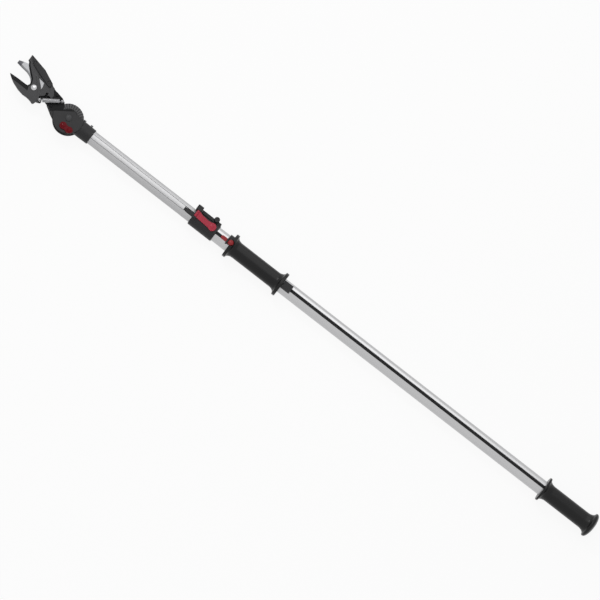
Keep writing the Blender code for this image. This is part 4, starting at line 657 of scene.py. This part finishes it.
# How far a face's normal points along z, for the sloped and side faces that get painted shade
faceLimits = {"slope": 0.15, "hookFlat": 0.9985, "bladeFlat": 0.985, "side": 0.6, "buttonSide": 0.5,
              "leastArea": 2e-6}


def isSlope(face, flattest):
    return faceLimits["slope"] < abs(face.normal.z) < flattest and face.area > faceLimits["leastArea"]


def isSide(face, steepest=faceLimits["side"]):
    return abs(face.normal.z) < steepest


def halfPlane(point, side):
    return tiltCentre + Vector((*point, 0)), Vector((*side, 0))


def grindHookBand(obj):
    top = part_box("hook_jaw")[1].z - hookSizes["ribHeight"] - poleOrigin.z
    edge, mouth = hookSizes["bandEdge"], hookSizes["mouthEdge"]
    corners = [(x, edge) for x in hookSizes["bandX"]] + list(hookSizes["bandEnd"])
    slopes = [top - hookSizes["bandDepth"] * (y - edge) / (mouth - edge) for _, y in corners]
    work = bmesh.new()
    low, high = [[work.verts.new(jawCentre + Vector((x, y, z))) for (x, y), z in zip(corners, heights)]
                 for heights in (slopes, [top + hookSizes["cutterLift"]] * 4)]
    work.faces.new(low[::-1])
    work.faces.new(high)
    for i in range(4):
        j = (i + 1) % 4
        work.faces.new((low[i], low[j], high[j], high[i]))
    carve(obj, linkWork("bandCutter", work))


def finishHook(obj):
    grindHookBand(obj)
    point, side = halfPlane(hookSizes["tailPoint"], hookSizes["tailSide"])
    splitBy(obj, point, side)
    # Painted shade: the hook's tail past the line and its sloped ground band turn near-black
    paintWhere(obj, blackAndPaintedShade,
               lambda face: (face.center - point).dot(side) > 0 or isSlope(face, faceLimits["hookFlat"]))
    evenShade(obj)


def finishBlade(obj):
    tailX, noseX = bladeSizes["tailX"], bladeSizes["noseX"]
    for x in (tailX, noseX):
        splitBy(obj, jawCentre + Vector((x, 0, 0)), (1, 0, 0))
    # Painted shade: the blade's sloped ground faces get the darker grind steel
    paintWhere(obj, bladeGrindAndShade, lambda face: isSlope(face, faceLimits["bladeFlat"]))
    # The blade's tail past tailX and its nose past noseX are painted darker
    paintWhere(obj, blackAndPaintedShade, lambda face: face.center.x > jawCentre.x + tailX)
    paintWhere(obj, bladeNose, lambda face: face.center.x < jawCentre.x + noseX)
    evenShade(obj)


def finishNeck(obj):
    point, side = halfPlane(neckSizes["darkPoint"], neckSizes["darkSide"])
    splitBy(obj, point, side)
    # Painted shade: the neck's upper part past the line turns near-black, and its steep sides get a darker,
    # duller black
    paintWhere(obj, blackAndPaintedShade, lambda face: (face.center - point).dot(side) > 0)
    paintWhere(obj, castSide, isSide)
    evenShade(obj)


finishHook(headPieces["hook_jaw"])
finishBlade(headPieces["blade"])
# Painted shade: the button's steep side faces get the darker, duller red
paintWhere(headPieces["tilt_lock_button"], buttonSide, lambda face: isSide(face, faceLimits["buttonSide"]))
finishNeck(headPieces["neck_rear"])
finishNeck(headPieces["neck_front"])
print("head made")


# Index wheel: a channel round it and a groove to each notch, cut by boxes set out with Geometry Nodes.
# The cutters' near-black paint stays inside the channel and the grooves as painted shade

wheelSizes = {"radius": 0.0365, "half": 0.0080, "notches": 32, "steps": 96, "rimShare": 0.9,
              "rimGap": 0.0004, "faceGap": 1e-4,
              "channel": (0.0212, 0.0242), "channelDepth": 0.0012, "channelLift": 0.0002,
              "groove": (0.0252, 0.0352), "grooveWidth": 0.0016, "grooveDepth": 0.0010}


def newTree(name, inputs, output):
    tree = bpy.data.node_groups.new(name, "GeometryNodeTree")
    keys = {}
    for label, kind, value in inputs:
        socket = tree.interface.new_socket(name=label, in_out="INPUT", socket_type=kind)
        if value is not None:
            socket.default_value = value
        keys[label] = socket.identifier
    tree.interface.new_socket(name=output, in_out="OUTPUT", socket_type="NodeSocketGeometry")
    return tree, keys, addNode(tree, "NodeGroupInput"), addNode(tree, "NodeGroupOutput")


def finishTree(tree, geometry, material, target):
    realize = addNode(tree, "GeometryNodeRealizeInstances")
    finish = addNode(tree, "GeometryNodeSetMaterial")
    finish.inputs["Material"].default_value = material
    tree.links.new(geometry, realize.inputs["Geometry"])
    tree.links.new(realize.outputs["Geometry"], finish.inputs["Geometry"])
    tree.links.new(finish.outputs["Geometry"], target)


def runTree(obj, tree, values):
    modifier = obj.modifiers.new(tree.name, "NODES")
    modifier.node_group = tree
    for key, value in values.items():
        modifier[key] = value
    return applyModifiers(obj)


def spokeTree():
    tree, keys, start, end = newTree("radialBoxes", (
        ("Count", "NodeSocketInt", 32), ("Middle radius", "NodeSocketFloat", 0.03),
        ("Box size", "NodeSocketVector", (0.01, 0.001, 0.001))), "Boxes")
    ring = addNode(tree, "GeometryNodeMeshCircle")
    cube = addNode(tree, "GeometryNodeMeshCube")
    place = addNode(tree, "GeometryNodeInputPosition")
    align = addNode(tree, "FunctionNodeAlignRotationToVector", axis="X")
    spokes = addNode(tree, "GeometryNodeInstanceOnPoints")
    link = tree.links.new
    link(start.outputs["Count"], ring.inputs["Vertices"])
    link(start.outputs["Middle radius"], ring.inputs["Radius"])
    link(start.outputs["Box size"], cube.inputs["Size"])
    link(place.outputs["Position"], align.inputs["Vector"])
    link(ring.outputs["Mesh"], spokes.inputs["Points"])
    link(cube.outputs["Mesh"], spokes.inputs["Instance"])
    link(align.outputs["Rotation"], spokes.inputs["Rotation"])
    # The boxes carry the near-black paint into the grooves they cut, as painted shade
    finishTree(tree, spokes.outputs["Instances"], blackAndPaintedShade, end.inputs["Boxes"])
    return tree, keys


def cutWheelFace(obj, tree, keys, side):
    inner, outer = wheelSizes["channel"]
    start, stop = wheelSizes["groove"]
    face = side * wheelSizes["half"]
    deep, lifted = face - side * wheelSizes["channelDepth"], face + side * wheelSizes["channelLift"]
    channel = turned("channelCutter", [(inner, deep), (outer, deep), (outer, lifted), (inner, lifted)],
                     wheelSizes["steps"])
    carve(obj, paint(shift(channel, tiltCentre, upright), blackAndPaintedShade))
    spokes = linkObject("spokeCutter", bpy.data.meshes.new("spokeCutter"))
    runTree(spokes, tree, {keys["Count"]: wheelSizes["notches"], keys["Middle radius"]: (start + stop) / 2,
                           keys["Box size"]: (stop - start, wheelSizes["grooveWidth"],
                                              2 * wheelSizes["grooveDepth"])})
    carve(obj, shift(spokes, tiltCentre + Vector((0, 0, face))))


def finishSocket(obj):
    tree, keys = spokeTree()
    for side in (1, -1):
        cutWheelFace(obj, tree, keys, side)
    radius = wheelSizes["radius"]
    rimLow, rimHigh = wheelSizes["rimShare"] * radius, radius + wheelSizes["rimGap"]

    def reach(face):
        return (face.center - tiltCentre).xy.length

    def isWheelFace(face):
        height = abs(face.center.z - tiltCentre.z)
        return abs(height - wheelSizes["half"]) < wheelSizes["faceGap"] and reach(face) < radius

    paintWhere(obj, indexGrey, isWheelFace)
    # Painted shade: the steep side faces round the wheel's rim get a darker, duller black
    paintWhere(obj, castSide, lambda face: isSide(face) and rimLow < reach(face) < rimHigh)
    evenShade(obj)


finishSocket(headPieces["socket"])
print("index wheel made")


# Return spring

springSizes = {"pinArm": 0.0343, "pinDirection": -29.0, "post": (-0.0357, 0.0214), "height": 0.0160,
               "wireRadius": 0.00075, "wireSides": 12, "coilRadius": 0.00475, "coils": 25, "steps": 26,
               "firstReach": 0.45, "eyeRadius": 0.00305, "eyeSteps": 21, "eyeSweep": 260.0,
               "eyeStarts": (-60.0, 220.0), "leadGap": 0.0030, "bend": (0.0010, 0.0010, 0.0008), "crease": 50}


def springPath():
    s = springSizes
    turn = math.radians(s["pinDirection"])
    start = jawPlace + Vector((math.cos(turn), math.sin(turn), 0)) * s["pinArm"]
    end = tiltPlace + Vector((*s["post"], 0))
    start.z = end.z = 0
    along = (end - start).normalized()
    side = Vector((-along.y, along.x, 0))
    span = (end - start).length
    lead = s["eyeRadius"] + s["leadGap"]
    back, across, rise = s["bend"]
    points = []

    def add(distance, offset, height):
        points.append(start + along * distance + side * offset + Vector((0, 0, s["height"] + height)))

    def addEye(distance, first):
        for i in range(s["eyeSteps"] + 1):
            turn = math.radians(first - s["eyeSweep"] * i / s["eyeSteps"])
            add(distance + s["eyeRadius"] * math.cos(turn), s["eyeRadius"] * math.sin(turn), 0)

    addEye(0, s["eyeStarts"][0])
    add(lead - back, across, rise)
    count = s["coils"] * s["steps"]
    for i in range(count + 1):
        share = i / count
        turn = 2 * math.pi * i / s["steps"]
        reach = s["coilRadius"] * min(1.0, s["firstReach"] + min(share, 1.0 - share) * s["coils"])
        add(lead + (span - 2 * lead) * share, reach * math.sin(turn), reach * math.cos(turn))
    add(span - lead + back, -across, rise)
    addEye(span, s["eyeStarts"][1])
    return points, start, end


def wireTree(material):
    tree, keys, start, end = newTree("wireAlongPath", (
        ("Path", "NodeSocketGeometry", None), ("Wire radius", "NodeSocketFloat", 0.001),
        ("Sides", "NodeSocketInt", 12)), "Wire")
    ring = addNode(tree, "GeometryNodeCurvePrimitiveCircle")
    sweep = addNode(tree, "GeometryNodeCurveToMesh")
    sweep.inputs["Fill Caps"].default_value = True
    link = tree.links.new
    link(start.outputs["Wire radius"], ring.inputs["Radius"])
    link(start.outputs["Sides"], ring.inputs["Resolution"])
    link(start.outputs["Path"], sweep.inputs["Curve"])
    link(ring.outputs["Curve"], sweep.inputs["Profile Curve"])
    finishTree(tree, sweep.outputs["Mesh"], material, end.inputs["Wire"])
    return tree, keys


def makeSpring():
    points, start, end = springPath()
    curve = bpy.data.curves.new("returnSpring", "CURVE")
    curve.dimensions = "3D"
    spline = curve.splines.new("POLY")
    spline.points.add(len(points) - 1)
    for point, place in zip(spline.points, points):
        point.co = (*(place + poleOrigin), 1)
    tree, keys = wireTree(springSteel)
    spring = runTree(linkObject("springPath", curve), tree, {keys["Wire radius"]: springSizes["wireRadius"],
                                                             keys["Sides"]: springSizes["wireSides"]})
    spring.name = "returnSpring"
    smoothBy(paint(spring, springSteel), springSizes["crease"])
    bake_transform(spring)
    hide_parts("return_spring")


makeSpring()
print("spring made")


# Camera, light and floor

view = {"lens": 200.0, "sensor": 36, "pixel": 0.00235, "size": 600, "roll": 37.87, "elevation": 78.0,
        "centre": (0.6228, -0.0009), "farthest": 100}
stage = {"floorHalf": 30, "floorDepth": 0.02, "floorShade": 0.82, "floorRoughness": 0.9, "glowShare": 0.90,
         "worldStrength": (0.35, 1.0)}
lamps = (
    {"name": "keyLamp", "place": (-0.6, 2.46, 3.15), "target": (-0.6, 0, 0), "size": (3.2, 6.2), "power": 56,
     "mirrored": True},
    {"name": "topLamp", "place": (-0.3, -0.9, 4.0), "target": (0, 0, 0), "size": (5.0, 3.0), "power": 48,
     "mirrored": False},
    {"name": "fillLamp", "place": (0.0, -3.4, 1.2), "target": (0, 0, 0), "size": (3.5, 1.2), "power": 14,
     "mirrored": False},
    {"name": "glintLamp", "place": (-2.4, 1.4, 3.2), "target": (-0.7, 0, 0), "size": (0.7, 0.7), "power": 26,
     "mirrored": True})


def makeCamera():
    roll, rise = math.radians(view["roll"]), math.radians(view["elevation"])
    back = Vector((0, -math.cos(rise), math.sin(rise)))
    across, upward = Vector((1, 0, 0)), Vector((0, math.sin(rise), math.cos(rise)))
    right = math.cos(roll) * across + math.sin(roll) * upward
    top = -math.sin(roll) * across + math.cos(roll) * upward
    target = poleOrigin + Vector((*view["centre"], 0))
    data = bpy.data.cameras.new("camera")
    data.lens = view["lens"]
    data.sensor_width = view["sensor"]
    data.clip_end = view["farthest"]
    distance = view["pixel"] * view["size"] * data.lens / data.sensor_width
    camera = linkObject("camera", data)
    camera.matrix_world = (Matrix.Translation(target + back * distance)
                           @ Matrix((right, top, back)).transposed().to_4x4())
    scene.camera = camera


def makeLamp(name, place, target, size, power, mirrored):
    data = bpy.data.lights.new(name, "AREA")
    data.shape = "RECTANGLE"
    data.size, data.size_y = size
    data.energy = power
    lamp = linkObject(name, data)
    lamp.visible_glossy = mirrored
    lamp.location = place
    lamp.rotation_euler = (Vector(place) - Vector(target)).to_track_quat("Z", "Y").to_euler()


def directRay(tree):
    path = addNode(tree, "ShaderNodeLightPath")
    seen = calculate(tree, "MAXIMUM", path.outputs["Is Camera Ray"], path.outputs["Is Glossy Ray"])
    return calculate(tree, "MAXIMUM", seen, path.outputs["Is Transmission Ray"])


def makeFloor():
    half, shade = stage["floorHalf"], stage["floorShade"]
    floor = boxMesh("floor", (-half, -half, -stage["floorDepth"]), (half, half, 0))
    material, tree, shader = newMaterial("paleFloor")
    shader.inputs["Base Color"].default_value = (shade, shade, shade, 1)
    shader.inputs["Roughness"].default_value = stage["floorRoughness"]
    shader.inputs["Specular IOR Level"].default_value = 0.0
    glow = addNode(tree, "ShaderNodeEmission")
    glow.inputs["Strength"].default_value = 1.0
    mix = addNode(tree, "ShaderNodeMixShader")
    tree.links.new(calculate(tree, "MULTIPLY", directRay(tree), stage["glowShare"]), mix.inputs[0])
    tree.links.new(shader.outputs[0], mix.inputs[1])
    tree.links.new(glow.outputs[0], mix.inputs[2])
    tree.links.new(mix.outputs[0], tree.nodes["Material Output"].inputs["Surface"])
    paint(floor, material)


def makeWorld():
    world = bpy.data.worlds.new("studio")
    world.use_nodes = True
    scene.world = world
    tree = world.node_tree
    background = tree.nodes["Background"]
    background.inputs["Color"].default_value = (1, 1, 1, 1)
    strength = spread(tree, directRay(tree), 0, 1, *stage["worldStrength"])
    tree.links.new(strength, background.inputs["Strength"])


makeCamera()
makeFloor()
makeWorld()
for lamp in lamps:
    makeLamp(**lamp)
scene.view_settings.view_transform = "Standard"
print("stage made")
